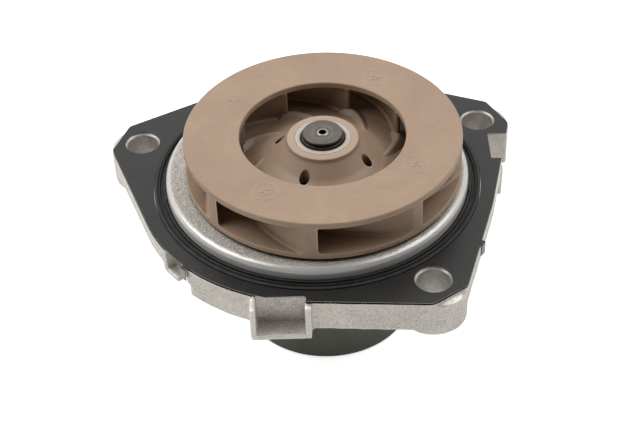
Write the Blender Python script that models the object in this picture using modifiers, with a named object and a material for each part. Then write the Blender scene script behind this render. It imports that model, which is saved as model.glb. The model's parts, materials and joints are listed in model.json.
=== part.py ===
"""Automotive water pump: flanged aluminium housing with a moulded seal gasket,
an integral-shaft ball bearing, a mechanical shaft seal, a closed moulded
impeller on one shaft end and a smooth belt pulley on the other.

Frame: origin at the centre of the shaft's belt-side end face, +Z along the
shaft towards the impeller.  Sizes are in millimetres and heights are counted
from the housing's mounting face; one empty carries everything up by the
distance from the shaft's end to that face.  In names, left and right are -X
and +X, lower is -Y, and front is the impeller side.
"""
import math

import bmesh
import bpy
from mathutils import Matrix, Vector

MM = 0.001
BIG, MID, SMALL = 48, 24, 20          # turning steps by size of piece
WELD_DISTANCE = 1e-6                  # metres

# ------------------------------------------------- dimensions shared by parts
REGISTER_CENTRE = (-1.9, 1.2)         # register is cast a little off the shaft
BOLTS = {"left": (-52.0, 19.6), "right": (45.2, 25.7), "lower": (27.5, -41.4)}
BOSS_R = 9.0
FLANGE_R = 49.8
LOBE_R = BOSS_R + 0.3

SHAFT_R = 7.95
SHAFT_TOP = 17.5
SHAFT_END = -44.8

RING_R_IN, RING_R_OUT = 12.3, 15.0    # bearing outer ring
RING_TOP, RING_END = -9.0, -34.4

# -------------------------------------------------------------------- scene
for old in list(bpy.data.objects):
    bpy.data.objects.remove(old, do_unlink=True)
for group in (bpy.data.meshes, bpy.data.curves, bpy.data.materials, bpy.data.collections):
    for item in list(group):
        group.remove(item)

scene_root = bpy.context.scene.collection
pump = bpy.data.collections.new("water_pump")
scene_root.children.link(pump)
tools = bpy.data.collections.new("cutters")
scene_root.children.link(tools)


# ---------------------------------------------------------------- materials
def material(name, rgb, roughness, metallic):
    made = bpy.data.materials.new(name)
    made.use_nodes = True
    shader = made.node_tree.nodes["Principled BSDF"]
    shader.inputs["Base Color"].default_value = (*rgb, 1.0)
    shader.inputs["Roughness"].default_value = roughness
    shader.inputs["Metallic"].default_value = metallic
    made.diffuse_color = (*rgb, 1.0)
    return made


CAST = material("cast_aluminium", rgb=(0.52, 0.50, 0.47), roughness=0.55, metallic=0.85)
STEEL = material("bearing_steel", rgb=(0.55, 0.55, 0.56), roughness=0.25, metallic=1.0)
DARK_STEEL = material("ground_shaft_steel", rgb=(0.30, 0.30, 0.30), roughness=0.35,
                      metallic=1.0)
COATED = material("coated_gasket_steel", rgb=(0.055, 0.055, 0.055), roughness=0.42,
                  metallic=0.2)
RUBBER = material("black_rubber", rgb=(0.012, 0.012, 0.012), roughness=0.45, metallic=0.0)
PLASTIC = material("brown_phenolic", rgb=(0.45, 0.33, 0.24), roughness=0.5, metallic=0.0)
BUSHING = material("pale_bush_metal", rgb=(0.62, 0.58, 0.54), roughness=0.4, metallic=0.8)
PAINT = material("black_pulley_paint", rgb=(0.035, 0.037, 0.032), roughness=0.45,
                 metallic=0.0)
CARBON = material("seal_carbon", rgb=(0.03, 0.03, 0.03), roughness=0.3, metallic=0.0)
CERAMIC = material("seal_ceramic", rgb=(0.75, 0.72, 0.66), roughness=0.25, metallic=0.0)
BRASS = material("seal_brass", rgb=(0.60, 0.45, 0.18), roughness=0.3, metallic=1.0)
NYLON = material("cage_nylon", rgb=(0.28, 0.22, 0.12), roughness=0.5, metallic=0.0)


# ------------------------------------------------------------- point helpers
def polar(radius, degrees, centre=(0.0, 0.0)):
    angle = math.radians(degrees)
    return (centre[0] + radius * math.cos(angle), centre[1] + radius * math.sin(angle))


def arc(centre, radius, start, end, steps):
    """Points from start to end degrees, both ends included."""
    return [polar(radius, start + (end - start) * i / steps, centre)
            for i in range(steps + 1)]


def circle(centre, radius, steps):
    return arc(centre, radius, 0.0, 360.0, steps)[:-1]


def band(outer, inner, start, end, steps):
    """A curved band round the register's centre, between two radii and angles."""
    return (arc(REGISTER_CENTRE, outer, start, end, steps)
            + arc(REGISTER_CENTRE, inner, end, start, steps))


# ------------------------------------------------------------- piece helpers
def place(name, mesh, mat):
    """Makes the object; one without a material is a hidden boolean helper."""
    ob = bpy.data.objects.new(name, mesh)
    if mat is None:
        tools.objects.link(ob)
        ob.hide_render = True
        ob.display_type = "WIRE"
    else:
        pump.objects.link(ob)
        mesh.materials.append(mat)
    return ob


def mesh_from_bmesh(name, bm):
    mesh = bpy.data.meshes.new(name)
    bm.to_mesh(mesh)
    bm.free()
    return mesh


def mesh_from_curve(name, curve):
    """Turns a curve into a mesh with welded seams and outward normals."""
    guide = bpy.data.objects.new(curve.name, curve)
    scene_root.objects.link(guide)
    bpy.context.view_layer.update()
    mesh = bpy.data.meshes.new_from_object(
        guide.evaluated_get(bpy.context.evaluated_depsgraph_get()))
    bpy.data.objects.remove(guide, do_unlink=True)
    mesh.name = name
    bm = bmesh.new()
    bm.from_mesh(mesh)
    bmesh.ops.remove_doubles(bm, verts=bm.verts, dist=WELD_DISTANCE)
    bmesh.ops.recalc_face_normals(bm, faces=bm.faces)
    bm.to_mesh(mesh)
    bm.free()
    return mesh


def turned(name, profile, steps, mat=None, centre=(0.0, 0.0), closed=True):
    """A Screw on a (r, z) profile that runs down its outer side: closed for a
    ring, open from axis to axis for a solid piece."""
    count = len(profile)
    edges = [(i, (i + 1) % count) for i in range(count if closed else count - 1)]
    mesh = bpy.data.meshes.new(name)
    mesh.from_pydata([(r * MM, 0.0, z * MM) for r, z in profile], edges, [])
    ob = place(name, mesh, mat)
    ob.location = (centre[0] * MM, centre[1] * MM, 0.0)
    screw = ob.modifiers.new("Turn", "SCREW")
    screw.axis = "Z"
    screw.angle = math.tau
    screw.screw_offset = 0.0
    screw.steps = steps
    screw.render_steps = steps
    screw.use_merge_vertices = True
    screw.merge_threshold = WELD_DISTANCE
    screw.use_smooth_shade = True
    if not closed:
        weld = ob.modifiers.new("Close_on_axis", "WELD")
        weld.merge_threshold = WELD_DISTANCE
    return ob


def flat(name, outlines, z_low, z_high, mat=None):
    """A plate: closed outlines (the later ones are holes) filled and extruded."""
    curve = bpy.data.curves.new(name + "_outline", "CURVE")
    curve.dimensions = "2D"
    curve.fill_mode = "BOTH"
    curve.extrude = 0.5 * (z_high - z_low) * MM
    for outline in outlines:
        spline = curve.splines.new("POLY")
        spline.points.add(len(outline) - 1)
        for point, (x, y) in zip(spline.points, outline):
            point.co = (x * MM, y * MM, 0.0, 1.0)
        spline.use_cyclic_u = True
    ob = place(name, mesh_from_curve(name, curve), mat)
    ob.matrix_world = Matrix.Translation((0.0, 0.0, 0.5 * (z_low + z_high) * MM))
    return ob


def upright(name, outline, thickness, degrees, centre=(0.0, 0.0)):
    """A helper plate standing on a radial line, its outline given as (r, z)."""
    ob = flat(name, [outline], -thickness / 2, thickness / 2)
    ob.matrix_world = (Matrix.Translation(Vector((*centre, 0.0)) * MM)
                       @ Matrix.Rotation(math.radians(degrees), 4, "Z")
                       @ Matrix.Rotation(math.radians(90.0), 4, "X"))
    return ob


def cylinder(name, centre, z_low, z_high, radius, steps):
    bm = bmesh.new()
    bmesh.ops.create_cone(bm, cap_ends=True, segments=steps, radius1=radius * MM,
                          radius2=radius * MM, depth=(z_high - z_low) * MM)
    ob = place(name, mesh_from_bmesh(name, bm), None)
    ob.location = (centre[0] * MM, centre[1] * MM, 0.5 * (z_low + z_high) * MM)
    return ob


def block(name, *limits):
    """A box given by its (low, high) limits in x, y and z."""
    middle = Vector([(low + high) / 2 for low, high in limits]) * MM
    size = Vector([high - low for low, high in limits]) * MM
    bm = bmesh.new()
    bmesh.ops.create_cube(bm, size=1.0, matrix=Matrix.LocRotScale(middle, None, size))
    return place(name, mesh_from_bmesh(name, bm), None)


def boolean(ob, tool, operation):
    modifier = ob.modifiers.new(operation.title() + "_" + tool.name, "BOOLEAN")
    modifier.operation = operation
    modifier.solver = "EXACT"
    modifier.object = tool


def join(ob, tool):
    boolean(ob, tool, "UNION")


def cut(ob, tool):
    boolean(ob, tool, "DIFFERENCE")


# ----------------------------------------------------------- flange outline
OUTLINE_STEP = 7.5                    # degrees between points on the disc's edge


def break_corner(before, corner, after, size):
    """Replaces a corner by three points on a short quadratic curve."""
    tip = Vector(corner)
    back = (Vector(before) - tip).normalized() * size
    ahead = (Vector(after) - tip).normalized() * size
    return [tuple((1 - t) ** 2 * (tip + back) + 2 * t * (1 - t) * tip
                  + t * t * (tip + ahead)) for t in (0.0, 0.5, 1.0)]


def flange_outline(disc_r, lobe_r, corner):
    """Disc round the register plus three bolt lobes, as one closed outline.
    A lobe's sides touch both the disc and a circle round the bolt; its end is
    flat between them, with small corner breaks."""
    lobes = []
    for bolt in BOLTS.values():
        dx, dy = bolt[0] - REGISTER_CENTRE[0], bolt[1] - REGISTER_CENTRE[1]
        axis = math.degrees(math.atan2(dy, dx))
        swing = math.degrees(math.acos((disc_r - lobe_r) / math.hypot(dx, dy)))
        lobes.append((axis - swing, axis + swing, bolt))
    lobes.sort()

    points = []
    for i, (start, end, bolt) in enumerate(lobes):
        foot_start = polar(disc_r, start, REGISTER_CENTRE)
        foot_end = polar(disc_r, end, REGISTER_CENTRE)
        tip_start = polar(lobe_r, start, bolt)
        tip_end = polar(lobe_r, end, bolt)
        points.append(foot_start)
        points += break_corner(foot_start, tip_start, tip_end, corner)
        points += break_corner(tip_start, tip_end, foot_end, corner)
        points.append(foot_end)
        next_start = lobes[(i + 1) % len(lobes)][0]
        while next_start <= end:
            next_start += 360.0
        steps = max(2, round((next_start - end) / OUTLINE_STEP))
        points += arc(REGISTER_CENTRE, disc_r, end, next_start, steps)[1:-1]
    return points


# ----------------------------------------------------------- housing casting
FLANGE_T = 5.0
FLANGE_CORNER = 1.4
REGISTER_R = 42.0
REGISTER_TOP = 4.4
REGISTER_ROUND = 1.5
CORE_R = 0.5                          # open core of the turned solids
BOSS_DEPTH = 11.2
BOLT_HOLE_R = 4.5

NECK_R = 18.2
NECK_END = -34.6
NECK_CHAMFER = 0.8
# (r, z): a cone under the flange, then the tube that holds the bearing
NECK = [(CORE_R, -1.5), (34.0, -1.5), (31.5, -7.0), (24.0, -11.0), (19.6, -16.0),
        (NECK_R, -20.0), (NECK_R, NECK_END + NECK_CHAMFER),
        (NECK_R - NECK_CHAMFER, NECK_END), (CORE_R, NECK_END)]

RIB_T = 3.0
RIB_ANGLES = (22.0, 72.0, 118.0, 160.0, 212.0, 262.0, 305.0)
# (r, z) outline of a rib
RIB = [(16.5, -1.7), (45.5, -1.7), (45.5, -6.3), (30.0, -8.6), (19.0, -20.0),
       (16.5, -20.0)]

SKIRT_DEPTH = 9.5
SKIRT_WALL = 4.2
SKIRT_ARC = (-134.5, -92.0)
# (x, y) of the skirt's end at the lower bolt lobe
SKIRT_END = [(25.5, -50.35), (27.5, -44.0), (16.0, -42.8)]

TRAY_X = (-20.2, -4.3)
TRAY_WALL = 1.65
TRAY_OUTER_Y, TRAY_INNER_Y = -50.1, -44.9
TRAY_FLOOR_Z = (-11.3, -9.55)         # under and upper side of the floor

LUG_GAP_Y = (6.6, 18.8)
LUG_X_START = 43.0
LUG_Z = (-11.0, -0.6)

RECESS_R = 21.0
RECESS_FLOOR = 1.2
SEAL_SEAT_R = 18.3
SEAL_SEAT_FLOOR = -4.2
CHAMBER_R = 12.9
BEARING_STOP = -8.7
BEARING_BORE_R = RING_R_OUT + 0.1
# (r, z) of the stepped tool for all bores on the shaft axis
BORES = [(0.4, 8.0), (RECESS_R, 8.0), (RECESS_R, RECESS_FLOOR),
         (SEAL_SEAT_R, RECESS_FLOOR), (SEAL_SEAT_R, SEAL_SEAT_FLOOR),
         (CHAMBER_R, SEAL_SEAT_FLOOR), (CHAMBER_R, BEARING_STOP),
         (BEARING_BORE_R, BEARING_STOP), (BEARING_BORE_R, -40.0), (0.4, -40.0)]

WEEP_R = 2.0
WEEP_MIDDLE = (0.0, -25.0, -6.4)


def add_register_and_neck(casting):
    """Raised register with a rounded shoulder, and the bearing neck below."""
    shoulder = arc((REGISTER_R - REGISTER_ROUND, REGISTER_TOP - REGISTER_ROUND),
                   REGISTER_ROUND, 90.0, 0.0, 3)
    profile = [(CORE_R, REGISTER_TOP), *shoulder, (REGISTER_R, -2.5), (CORE_R, -2.5)]
    join(casting, turned("add_register", profile, BIG, centre=REGISTER_CENTRE))
    join(casting, turned("add_neck", NECK, MID))


def add_skirt(casting):
    """Deep wall along the lower edge, ending at the lower bolt lobe."""
    start, end = SKIRT_ARC
    outline = (arc(REGISTER_CENTRE, FLANGE_R - 0.35, start, end, 8) + SKIRT_END
               + arc(REGISTER_CENTRE, FLANGE_R - SKIRT_WALL, end, start, 8))
    join(casting, flat("add_skirt", [outline], -SKIRT_DEPTH, -0.7))


def add_bosses_and_ribs(casting):
    for key, centre in BOLTS.items():
        join(casting, cylinder("add_boss_" + key, centre, -BOSS_DEPTH, -0.8, BOSS_R, 24))
    for i, degrees in enumerate(RIB_ANGLES, 1):
        join(casting, upright("add_rib_%d" % i, RIB, RIB_T, degrees))


def add_tray(casting):
    """Tray on the lower edge, open outwards and upwards: two cheeks and a floor."""
    join(casting, block("add_tray", TRAY_X, (TRAY_OUTER_Y, -42.0),
                        (TRAY_FLOOR_Z[0], -0.45)))
    cut(casting, block("cut_tray", (TRAY_X[0] + TRAY_WALL, TRAY_X[1] - TRAY_WALL),
                       (TRAY_OUTER_Y - 3.0, TRAY_INNER_Y), (TRAY_FLOOR_Z[1], 3.0)))


def add_lugs(casting):
    """Two lugs on the right edge with a clear gap between them."""
    join(casting, block("add_lug_near", (LUG_X_START, 50.6), (4.6, LUG_GAP_Y[0]), LUG_Z))
    join(casting, block("add_lug_far", (LUG_X_START, 53.5), (LUG_GAP_Y[1], 20.7), LUG_Z))
    cut(casting, block("cut_lug_gap", (46.6, 60.0), LUG_GAP_Y, (-20.0, 3.0)))


def add_open_corner(casting):
    """Small block beside the left end of the skirt, hollowed from outside."""
    join(casting, flat("add_corner", [band(FLANGE_R - 0.2, 43.5, -148.0, -139.8, 3)],
                       -8.1, -0.9))
    cut(casting, flat("cut_corner", [band(60.0, 46.4, -145.8, -135.2, 3)], -6.4, 3.0))


def cut_holes(casting):
    cut(casting, turned("cut_bores", BORES, MID))
    for key, centre in BOLTS.items():
        cut(casting, cylinder("cut_bolt_" + key, centre, -20.0, 6.0, BOLT_HOLE_R, 24))
    # takes out the thin core that the ring-shaped bore tool leaves on the axis
    cut(casting, cylinder("cut_axis", (0.0, 0.0), -50.0, 12.0, 3.0, 12))
    # weep hole along Y, from the chamber between seal and bearing out to -Y
    weep = cylinder("cut_weep", (0.0, 0.0), -20.0, 20.0, WEEP_R, 12)
    weep.matrix_world = (Matrix.Translation(Vector(WEEP_MIDDLE) * MM)
                         @ Matrix.Rotation(math.radians(90.0), 4, "X"))
    cut(casting, weep)


def make_housing():
    outline = flange_outline(FLANGE_R, LOBE_R, FLANGE_CORNER)
    casting = flat("housing_casting", [outline], -FLANGE_T, 0.0, CAST)
    add_register_and_neck(casting)
    add_skirt(casting)
    add_bosses_and_ribs(casting)
    add_tray(casting)
    add_lugs(casting)
    add_open_corner(casting)
    cut_holes(casting)


# ------------------------------------------------------------------- gasket
GASKET_INSET = 0.3                    # gasket edge inside the flange edge
GASKET_R = FLANGE_R - GASKET_INSET
GASKET_LOW, GASKET_HIGH = 0.06, 0.56
GASKET_CORNER = 0.8
GASKET_HOLE_R = 4.98
TAB_WIDTH = 1.8
TABS = ((-135.2, GASKET_R), (-34.0, 51.6), (110.0, GASKET_R))    # degrees, edge radius

BEAD_R_IN, BEAD_R_OUT = 42.3, 45.4
# (r, z): a flat foot with three low ridges
BEAD = [(BEAD_R_IN, 0.08), (BEAD_R_IN, 1.1), (BEAD_R_IN + 0.6, 1.1),
        (BEAD_R_IN + 1.1, 0.7), (BEAD_R_IN + 1.7, 1.15), (BEAD_R_IN + 2.3, 0.7),
        (BEAD_R_IN + 2.7, 0.95), (BEAD_R_OUT, 0.6), (BEAD_R_OUT, 0.08)]


def add_tabs(carrier):
    """Three bent tabs that clip the carrier to the flange edge."""
    top, under = GASKET_HIGH - 0.02, GASKET_LOW + 0.02
    for i, (degrees, edge) in enumerate(TABS, 1):
        outline = [(edge - 1.2, top), (edge - 1.2, under), (edge + 0.75, under),
                   (edge + 0.75, -3.4), (edge + 1.15, -3.4), (edge + 1.15, top)]
        join(carrier, upright("add_tab_%d" % i, outline, TAB_WIDTH, degrees,
                              REGISTER_CENTRE))


def make_gasket():
    outlines = [flange_outline(GASKET_R, LOBE_R - GASKET_INSET, GASKET_CORNER),
                circle(REGISTER_CENTRE, BEAD_R_OUT + 0.15, BIG)]
    outlines += [circle(bolt, GASKET_HOLE_R, 24) for bolt in BOLTS.values()]
    carrier = flat("gasket_carrier", outlines, GASKET_LOW, GASKET_HIGH, COATED)
    # notches over the tray and over the lug gap
    cut(carrier, block("cut_gasket_tray", (-19.0, -5.6), (-60.0, -46.3), (-2.0, 2.0)))
    cut(carrier, block("cut_gasket_lugs", (47.4, 60.0), (7.4, 18.7), (-2.0, 2.0)))
    add_tabs(carrier)
    turned("gasket_bead", BEAD, BIG, RUBBER, REGISTER_CENTRE)


# -------------------------------------------------------- shaft and bearing
ROW_FRONT, ROW_REAR = -15.0, -28.5    # heights of the ball rows
PITCH_R = 10.15
BALLS = 8
BALL_R = 3.1
GROOVE_R = 3.25
RING_EDGE = 0.4
RING_STEP = 0.6                       # step in the ring's bore that holds a seal
RING_STEP_DEPTH = 1.5
NOSE_R = 6.0
SHAFT_STEP = 8.2
CAGE_R_IN, CAGE_R_OUT = 9.2, 11.15
CAGE_OPEN, CAGE_CLOSED = 1.6, 4.3     # reach from the row on the two sides
POCKET_R = 3.38

# (r, z): centre hole, rounded end and nose down to the full diameter
SHAFT_NOSE = [(0.0, SHAFT_TOP - 2.6), (0.8, SHAFT_TOP - 2.2), (0.9, SHAFT_TOP - 0.5),
              (1.3, SHAFT_TOP), (5.3, SHAFT_TOP), (5.45, SHAFT_TOP - 0.15),
              (5.45, SHAFT_TOP - 0.65), (5.15, SHAFT_TOP - 0.7),
              (5.15, SHAFT_TOP - 1.0), (NOSE_R - 0.15, SHAFT_TOP - 1.05),
              (NOSE_R, SHAFT_TOP - 1.2), (NOSE_R, SHAFT_STEP),
              (SHAFT_R - 0.3, SHAFT_STEP), (SHAFT_R, SHAFT_STEP - 0.3)]


def groove(z, side):
    """Race arc of a row: side +1 cuts the outer ring, -1 cuts the shaft."""
    surface = RING_R_IN if side > 0 else SHAFT_R
    half = math.degrees(math.acos((surface - PITCH_R) * side / GROOVE_R))
    middle = 0.0 if side > 0 else 180.0
    return arc((PITCH_R, z), GROOVE_R, middle - half, middle + half, 4)


def make_outer_ring():
    """Outer side down, then up the bore through both races."""
    seat_r = RING_R_IN + RING_STEP
    profile = [(RING_R_OUT, RING_TOP - RING_EDGE), (RING_R_OUT, RING_END + RING_EDGE),
               (RING_R_OUT - RING_EDGE, RING_END), (seat_r, RING_END),
               (seat_r, RING_END + RING_STEP_DEPTH),
               (RING_R_IN, RING_END + RING_STEP_DEPTH),
               *groove(ROW_REAR, +1), *groove(ROW_FRONT, +1),
               (RING_R_IN, RING_TOP - RING_STEP_DEPTH),
               (seat_r, RING_TOP - RING_STEP_DEPTH), (seat_r, RING_TOP),
               (RING_R_OUT - RING_EDGE, RING_TOP)]
    turned("bearing_outer_ring", profile, MID, STEEL)


def make_bearing_seal(name, z_low, z_high):
    outer = RING_R_IN + 0.45
    turned(name, [(8.3, z_high - 0.25), (8.9, z_high), (outer, z_high), (outer, z_low),
                  (8.9, z_low), (8.3, z_low + 0.25)], MID, RUBBER)


def make_shaft():
    profile = [*SHAFT_NOSE, *groove(ROW_FRONT, -1), *groove(ROW_REAR, -1),
               (SHAFT_R, SHAFT_END + 0.5), (SHAFT_R - 0.5, SHAFT_END), (0.0, SHAFT_END)]
    turned("shaft", profile, MID, DARK_STEEL, closed=False)


def make_cage(name, row_z, closed_side):
    """Snap cage: a thin ring with open ball pockets; +1 closes it above."""
    above, below = CAGE_OPEN, CAGE_CLOSED
    if closed_side > 0:
        above, below = below, above
    high, low = row_z + above, row_z - below
    cage = turned(name, [(CAGE_R_OUT, high), (CAGE_R_OUT, low), (CAGE_R_IN, low),
                         (CAGE_R_IN, high)], MID, NYLON)
    for k in range(BALLS):
        pocket = cylinder("cut_%s_%d" % (name, k + 1), (0.0, 0.0), -2.6, 2.6,
                          POCKET_R, 12)
        pocket.matrix_world = (Matrix.Rotation(math.tau * k / BALLS, 4, "Z")
                               @ Matrix.Translation(Vector((PITCH_R, 0.0, row_z)) * MM)
                               @ Matrix.Rotation(math.radians(90.0), 4, "Y"))
        cut(cage, pocket)


def make_balls():
    """Both rows share one ball mesh."""
    bm = bmesh.new()
    bmesh.ops.create_uvsphere(bm, u_segments=10, v_segments=6, radius=BALL_R * MM)
    mesh = mesh_from_bmesh("ball", bm)
    mesh.materials.append(STEEL)
    mesh.shade_smooth()
    for row, z in (("front", ROW_FRONT), ("rear", ROW_REAR)):
        for k in range(BALLS):
            ball = bpy.data.objects.new("%s_ball_%d" % (row, k + 1), mesh)
            x, y = polar(PITCH_R, 360.0 * k / BALLS)
            ball.location = (x * MM, y * MM, z * MM)
            pump.objects.link(ball)


def make_bearing():
    make_outer_ring()
    make_bearing_seal("bearing_seal_front", RING_TOP - 1.35, RING_TOP - 0.15)
    make_bearing_seal("bearing_seal_rear", RING_END + 0.15, RING_END + 1.35)
    make_shaft()
    make_cage("front_cage", ROW_FRONT, -1)
    make_cage("rear_cage", ROW_REAR, +1)
    make_balls()


# ---------------------------------------------------------- mechanical seal
# name, steps, material, (r, z) profile
SEAL_PARTS = (
    # drawn cup pressed into the housing, flange up
    ("seal_cup", MID, BRASS,
     [(19.9, 1.9), (19.9, 1.4), (18.15, 1.4), (18.15, -4.05), (9.6, -4.05),
      (9.6, -3.5), (17.6, -3.5), (17.6, 1.9)]),
    # bellows inside the spring: foot, waist and lip, one wall
    ("seal_bellows", SMALL, RUBBER,
     [(14.6, 0.9), (14.6, 0.2), (13.2, 0.2), (13.2, -1.2), (15.1, -1.9),
      (15.1, -3.2), (10.2, -3.2), (10.2, -2.2), (12.2, -2.2), (12.2, 0.9)]),
    # holder that carries the carbon face ring and takes the spring's push
    ("seal_holder", SMALL, STEEL,
     [(16.9, 1.75), (16.9, 1.2), (10.4, 1.2), (10.4, 1.75), (13.7, 1.75),
      (13.7, 2.9), (14.2, 2.9), (14.2, 1.75)]),
    ("seal_carbon_ring", SMALL, CARBON,
     [(12.6, 3.5), (13.4, 3.0), (13.4, 2.05), (9.4, 2.05), (9.4, 3.0), (10.0, 3.5)]),
    # rotating side: sleeve on the shaft, rubber cup, ceramic mating ring
    ("seal_sleeve", SMALL, BRASS,
     [(14.0, 7.15), (14.0, 6.7), (8.7, 6.7), (8.7, -3.0), (8.2, -3.0), (8.2, 7.15)]),
    ("seal_mating_cup", SMALL, RUBBER,
     [(14.2, 6.4), (14.2, 4.0), (13.5, 4.0), (13.5, 6.0), (9.1, 6.0), (9.1, 6.4)]),
    ("seal_mating_ring", SMALL, CERAMIC,
     [(13.2, 5.7), (13.2, 4.1), (12.8, 3.8), (9.5, 3.8), (9.5, 5.7)]),
    # slinger in the chamber below the seal
    ("slinger", SMALL, RUBBER,
     [(9.2, -4.9), (9.4, -6.6), (12.2, -6.6), (12.2, -7.3), (9.4, -7.9),
      (8.3, -7.9), (8.3, -4.9)]),
)

SPRING_R, WIRE_R = 16.1, 0.5
SPRING_TURNS = 2.75
SPRING_FLAT_TURNS = 0.35              # level part at each end
SPRING_LOW, SPRING_HIGH = -2.85, 0.35
SPRING_POINTS_PER_TURN = 14


def spring_point(t):
    """Wire centre at t from 0 to 1 along the coil."""
    angle = math.tau * SPRING_TURNS * t
    lift = ((t * SPRING_TURNS - SPRING_FLAT_TURNS)
            / (SPRING_TURNS - 2 * SPRING_FLAT_TURNS))
    lift = min(max(lift, 0.0), 1.0)
    return (SPRING_R * math.cos(angle), SPRING_R * math.sin(angle),
            SPRING_LOW + (SPRING_HIGH - SPRING_LOW) * lift)


def make_spring():
    curve = bpy.data.curves.new("seal_spring_path", "CURVE")
    curve.dimensions = "3D"
    curve.bevel_depth = WIRE_R * MM
    curve.bevel_resolution = 1
    curve.use_fill_caps = True
    spline = curve.splines.new("POLY")
    steps = int(SPRING_POINTS_PER_TURN * SPRING_TURNS)
    spline.points.add(steps)
    for i, point in enumerate(spline.points):
        x, y, z = spring_point(i / steps)
        point.co = (x * MM, y * MM, z * MM, 1.0)
    mesh = mesh_from_curve("seal_spring", curve)
    place("seal_spring", mesh, STEEL)
    mesh.shade_smooth()


def make_seal():
    for name, steps, mat, profile in SEAL_PARTS:
        turned(name, profile, steps, mat)
    make_spring()


# ----------------------------------------------------------------- impeller
IMPELLER_R = 38.0
IMPELLER_TOP = SHAFT_TOP
EYE_R = 22.7
SHROUD_T = 1.8
SHROUD_ROUND = 0.45
DISC_LOW, DISC_HIGH = 5.2, 7.1
HUB_TOP = 15.7
HUB_R = 9.84
BUSH_R = 8.4
BUSH_GROOVE_R = BUSH_R - 0.6
VANES = 8
VANE_T = 1.4
VANE_LEAD_R = EYE_R - 0.4
VANE_TIP_ANGLE = -95.3                # degrees, seen from above
VANE_SPIRAL = 121.9                   # degrees of wrap per natural log of radius
ROOT_SPIRAL = 66.5                    # the same for the low run inside the eye
ROOT_R = 16.6                         # inner end of the low run
ROOT_LOW, ROOT_HIGH = 6.4, 9.6        # before its top edge is sloped
ROOT_DROP = 0.85                      # top edge lowered all along
ROOT_RISE, ROOT_RISE_LENGTH = 0.8, 6.0
BALANCE_HOLE_R, BALANCE_PITCH_R = 1.5, 12.9
BALANCE_HOLES = 4
BALANCE_START = -24.0                 # degrees

# (r, z): upper face from the hub down the flare to the rim, then the hollow back
HUB = [(HUB_R - 0.3, HUB_TOP), (HUB_R, HUB_TOP - 0.3), (13.9, 10.1), (15.6, 8.5),
       (17.8, 7.5), (20.5, DISC_HIGH), (IMPELLER_R, DISC_HIGH), (IMPELLER_R, DISC_LOW),
       (18.0, DISC_LOW), (16.6, 5.7), (12.8, 8.3), (8.55, 8.3), (8.55, HUB_TOP)]
# (r, z) of the tool that trims the vane tips at the rim
RIM_TRIM = [(IMPELLER_R + 8.0, 20.0), (IMPELLER_R + 8.0, 4.0),
            (IMPELLER_R + 0.02, 4.0), (IMPELLER_R + 0.02, 7.6),
            (IMPELLER_R - 0.1, 7.6), (IMPELLER_R - 0.1, 20.0)]
# (r, z) of the metal bush, with a locking groove outside
BUSH = [(BUSH_R - 0.3, HUB_TOP - 0.02), (BUSH_R, HUB_TOP - 0.3), (BUSH_R, 12.6),
        (BUSH_GROOVE_R, 12.6), (BUSH_GROOVE_R, 11.4), (BUSH_R, 11.4), (BUSH_R, 8.4),
        (6.15, 8.4), (6.15, HUB_TOP - 0.3), (6.35, HUB_TOP - 0.02)]


def vane_point(r):
    angle = VANE_TIP_ANGLE - VANE_SPIRAL * math.log(IMPELLER_R / max(r, VANE_LEAD_R))
    return polar(r, angle - ROOT_SPIRAL * math.log(VANE_LEAD_R / min(r, VANE_LEAD_R)))


def vane_outline(r_start, r_end, steps):
    """Plan of a vane: its spiral midline thickened square to itself."""
    left, right = [], []
    for i in range(steps + 1):
        r = r_start + (r_end - r_start) * i / steps
        x, y = vane_point(r)
        x_ahead, y_ahead = vane_point(r + 0.01)
        along = Vector((x_ahead - x, y_ahead - y)).normalized()
        offset = Vector((-along.y, along.x)) * VANE_T * 0.5
        left.append((x + offset.x, y + offset.y))
        right.append((x - offset.x, y - offset.y))
    return left + right[::-1]


def make_vane_root(name):
    """Low run of a vane from the flare to the eye, top edge rising outwards."""
    root = flat(name, [vane_outline(ROOT_R, EYE_R + 0.6, 3)], ROOT_LOW, ROOT_HIGH)
    for vertex in root.data.vertices:
        if vertex.co.z > 0:
            r = math.hypot(vertex.co.x, vertex.co.y) / MM
            share = min(max((r - ROOT_R) / ROOT_RISE_LENGTH, 0.0), 1.0)
            vertex.co.z += ROOT_RISE * MM * share - ROOT_DROP * MM
    return root


def make_shroud():
    rim = arc((IMPELLER_R - SHROUD_ROUND, IMPELLER_TOP - SHROUD_ROUND), SHROUD_ROUND,
              90.0, 0.0, 2)
    under = IMPELLER_TOP - SHROUD_T
    turned("impeller_shroud", [(EYE_R + 0.35, IMPELLER_TOP), *rim, (IMPELLER_R, under),
                               (EYE_R, under), (EYE_R, IMPELLER_TOP - 0.35)],
           BIG, PLASTIC)


def make_hub():
    """Hub disc with its vanes, trimmed at the rim, and balance holes."""
    hub = turned("impeller_hub", HUB, BIG, PLASTIC)
    for k in range(VANES):
        tall = flat("add_vane_%d" % (k + 1),
                    [vane_outline(VANE_LEAD_R, IMPELLER_R + 0.6, 6)],
                    DISC_HIGH - 0.9, IMPELLER_TOP - SHROUD_T - 0.1)
        for vane in (tall, make_vane_root("add_vane_root_%d" % (k + 1))):
            vane.matrix_world = (Matrix.Rotation(math.tau * k / VANES, 4, "Z")
                                 @ vane.matrix_world)
            join(hub, vane)
    cut(hub, turned("cut_vane_tips", RIM_TRIM, BIG))
    for k in range(BALANCE_HOLES):
        centre = polar(BALANCE_PITCH_R, BALANCE_START + 360.0 / BALANCE_HOLES * k)
        cut(hub, cylinder("cut_balance_%d" % (k + 1), centre, 2.0, 20.0,
                          BALANCE_HOLE_R, 12))


def make_impeller():
    make_shroud()
    make_hub()
    turned("impeller_bush", BUSH, SMALL, BUSHING)


# ------------------------------------------------------------------- pulley
PULLEY_R = 25.0
PULLEY_END = SHAFT_END
PULLEY_TOP = PULLEY_END + 25.0
PULLEY_INNER_R = PULLEY_R - 2.4
PULLEY_HUB_R = 12.6
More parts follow.
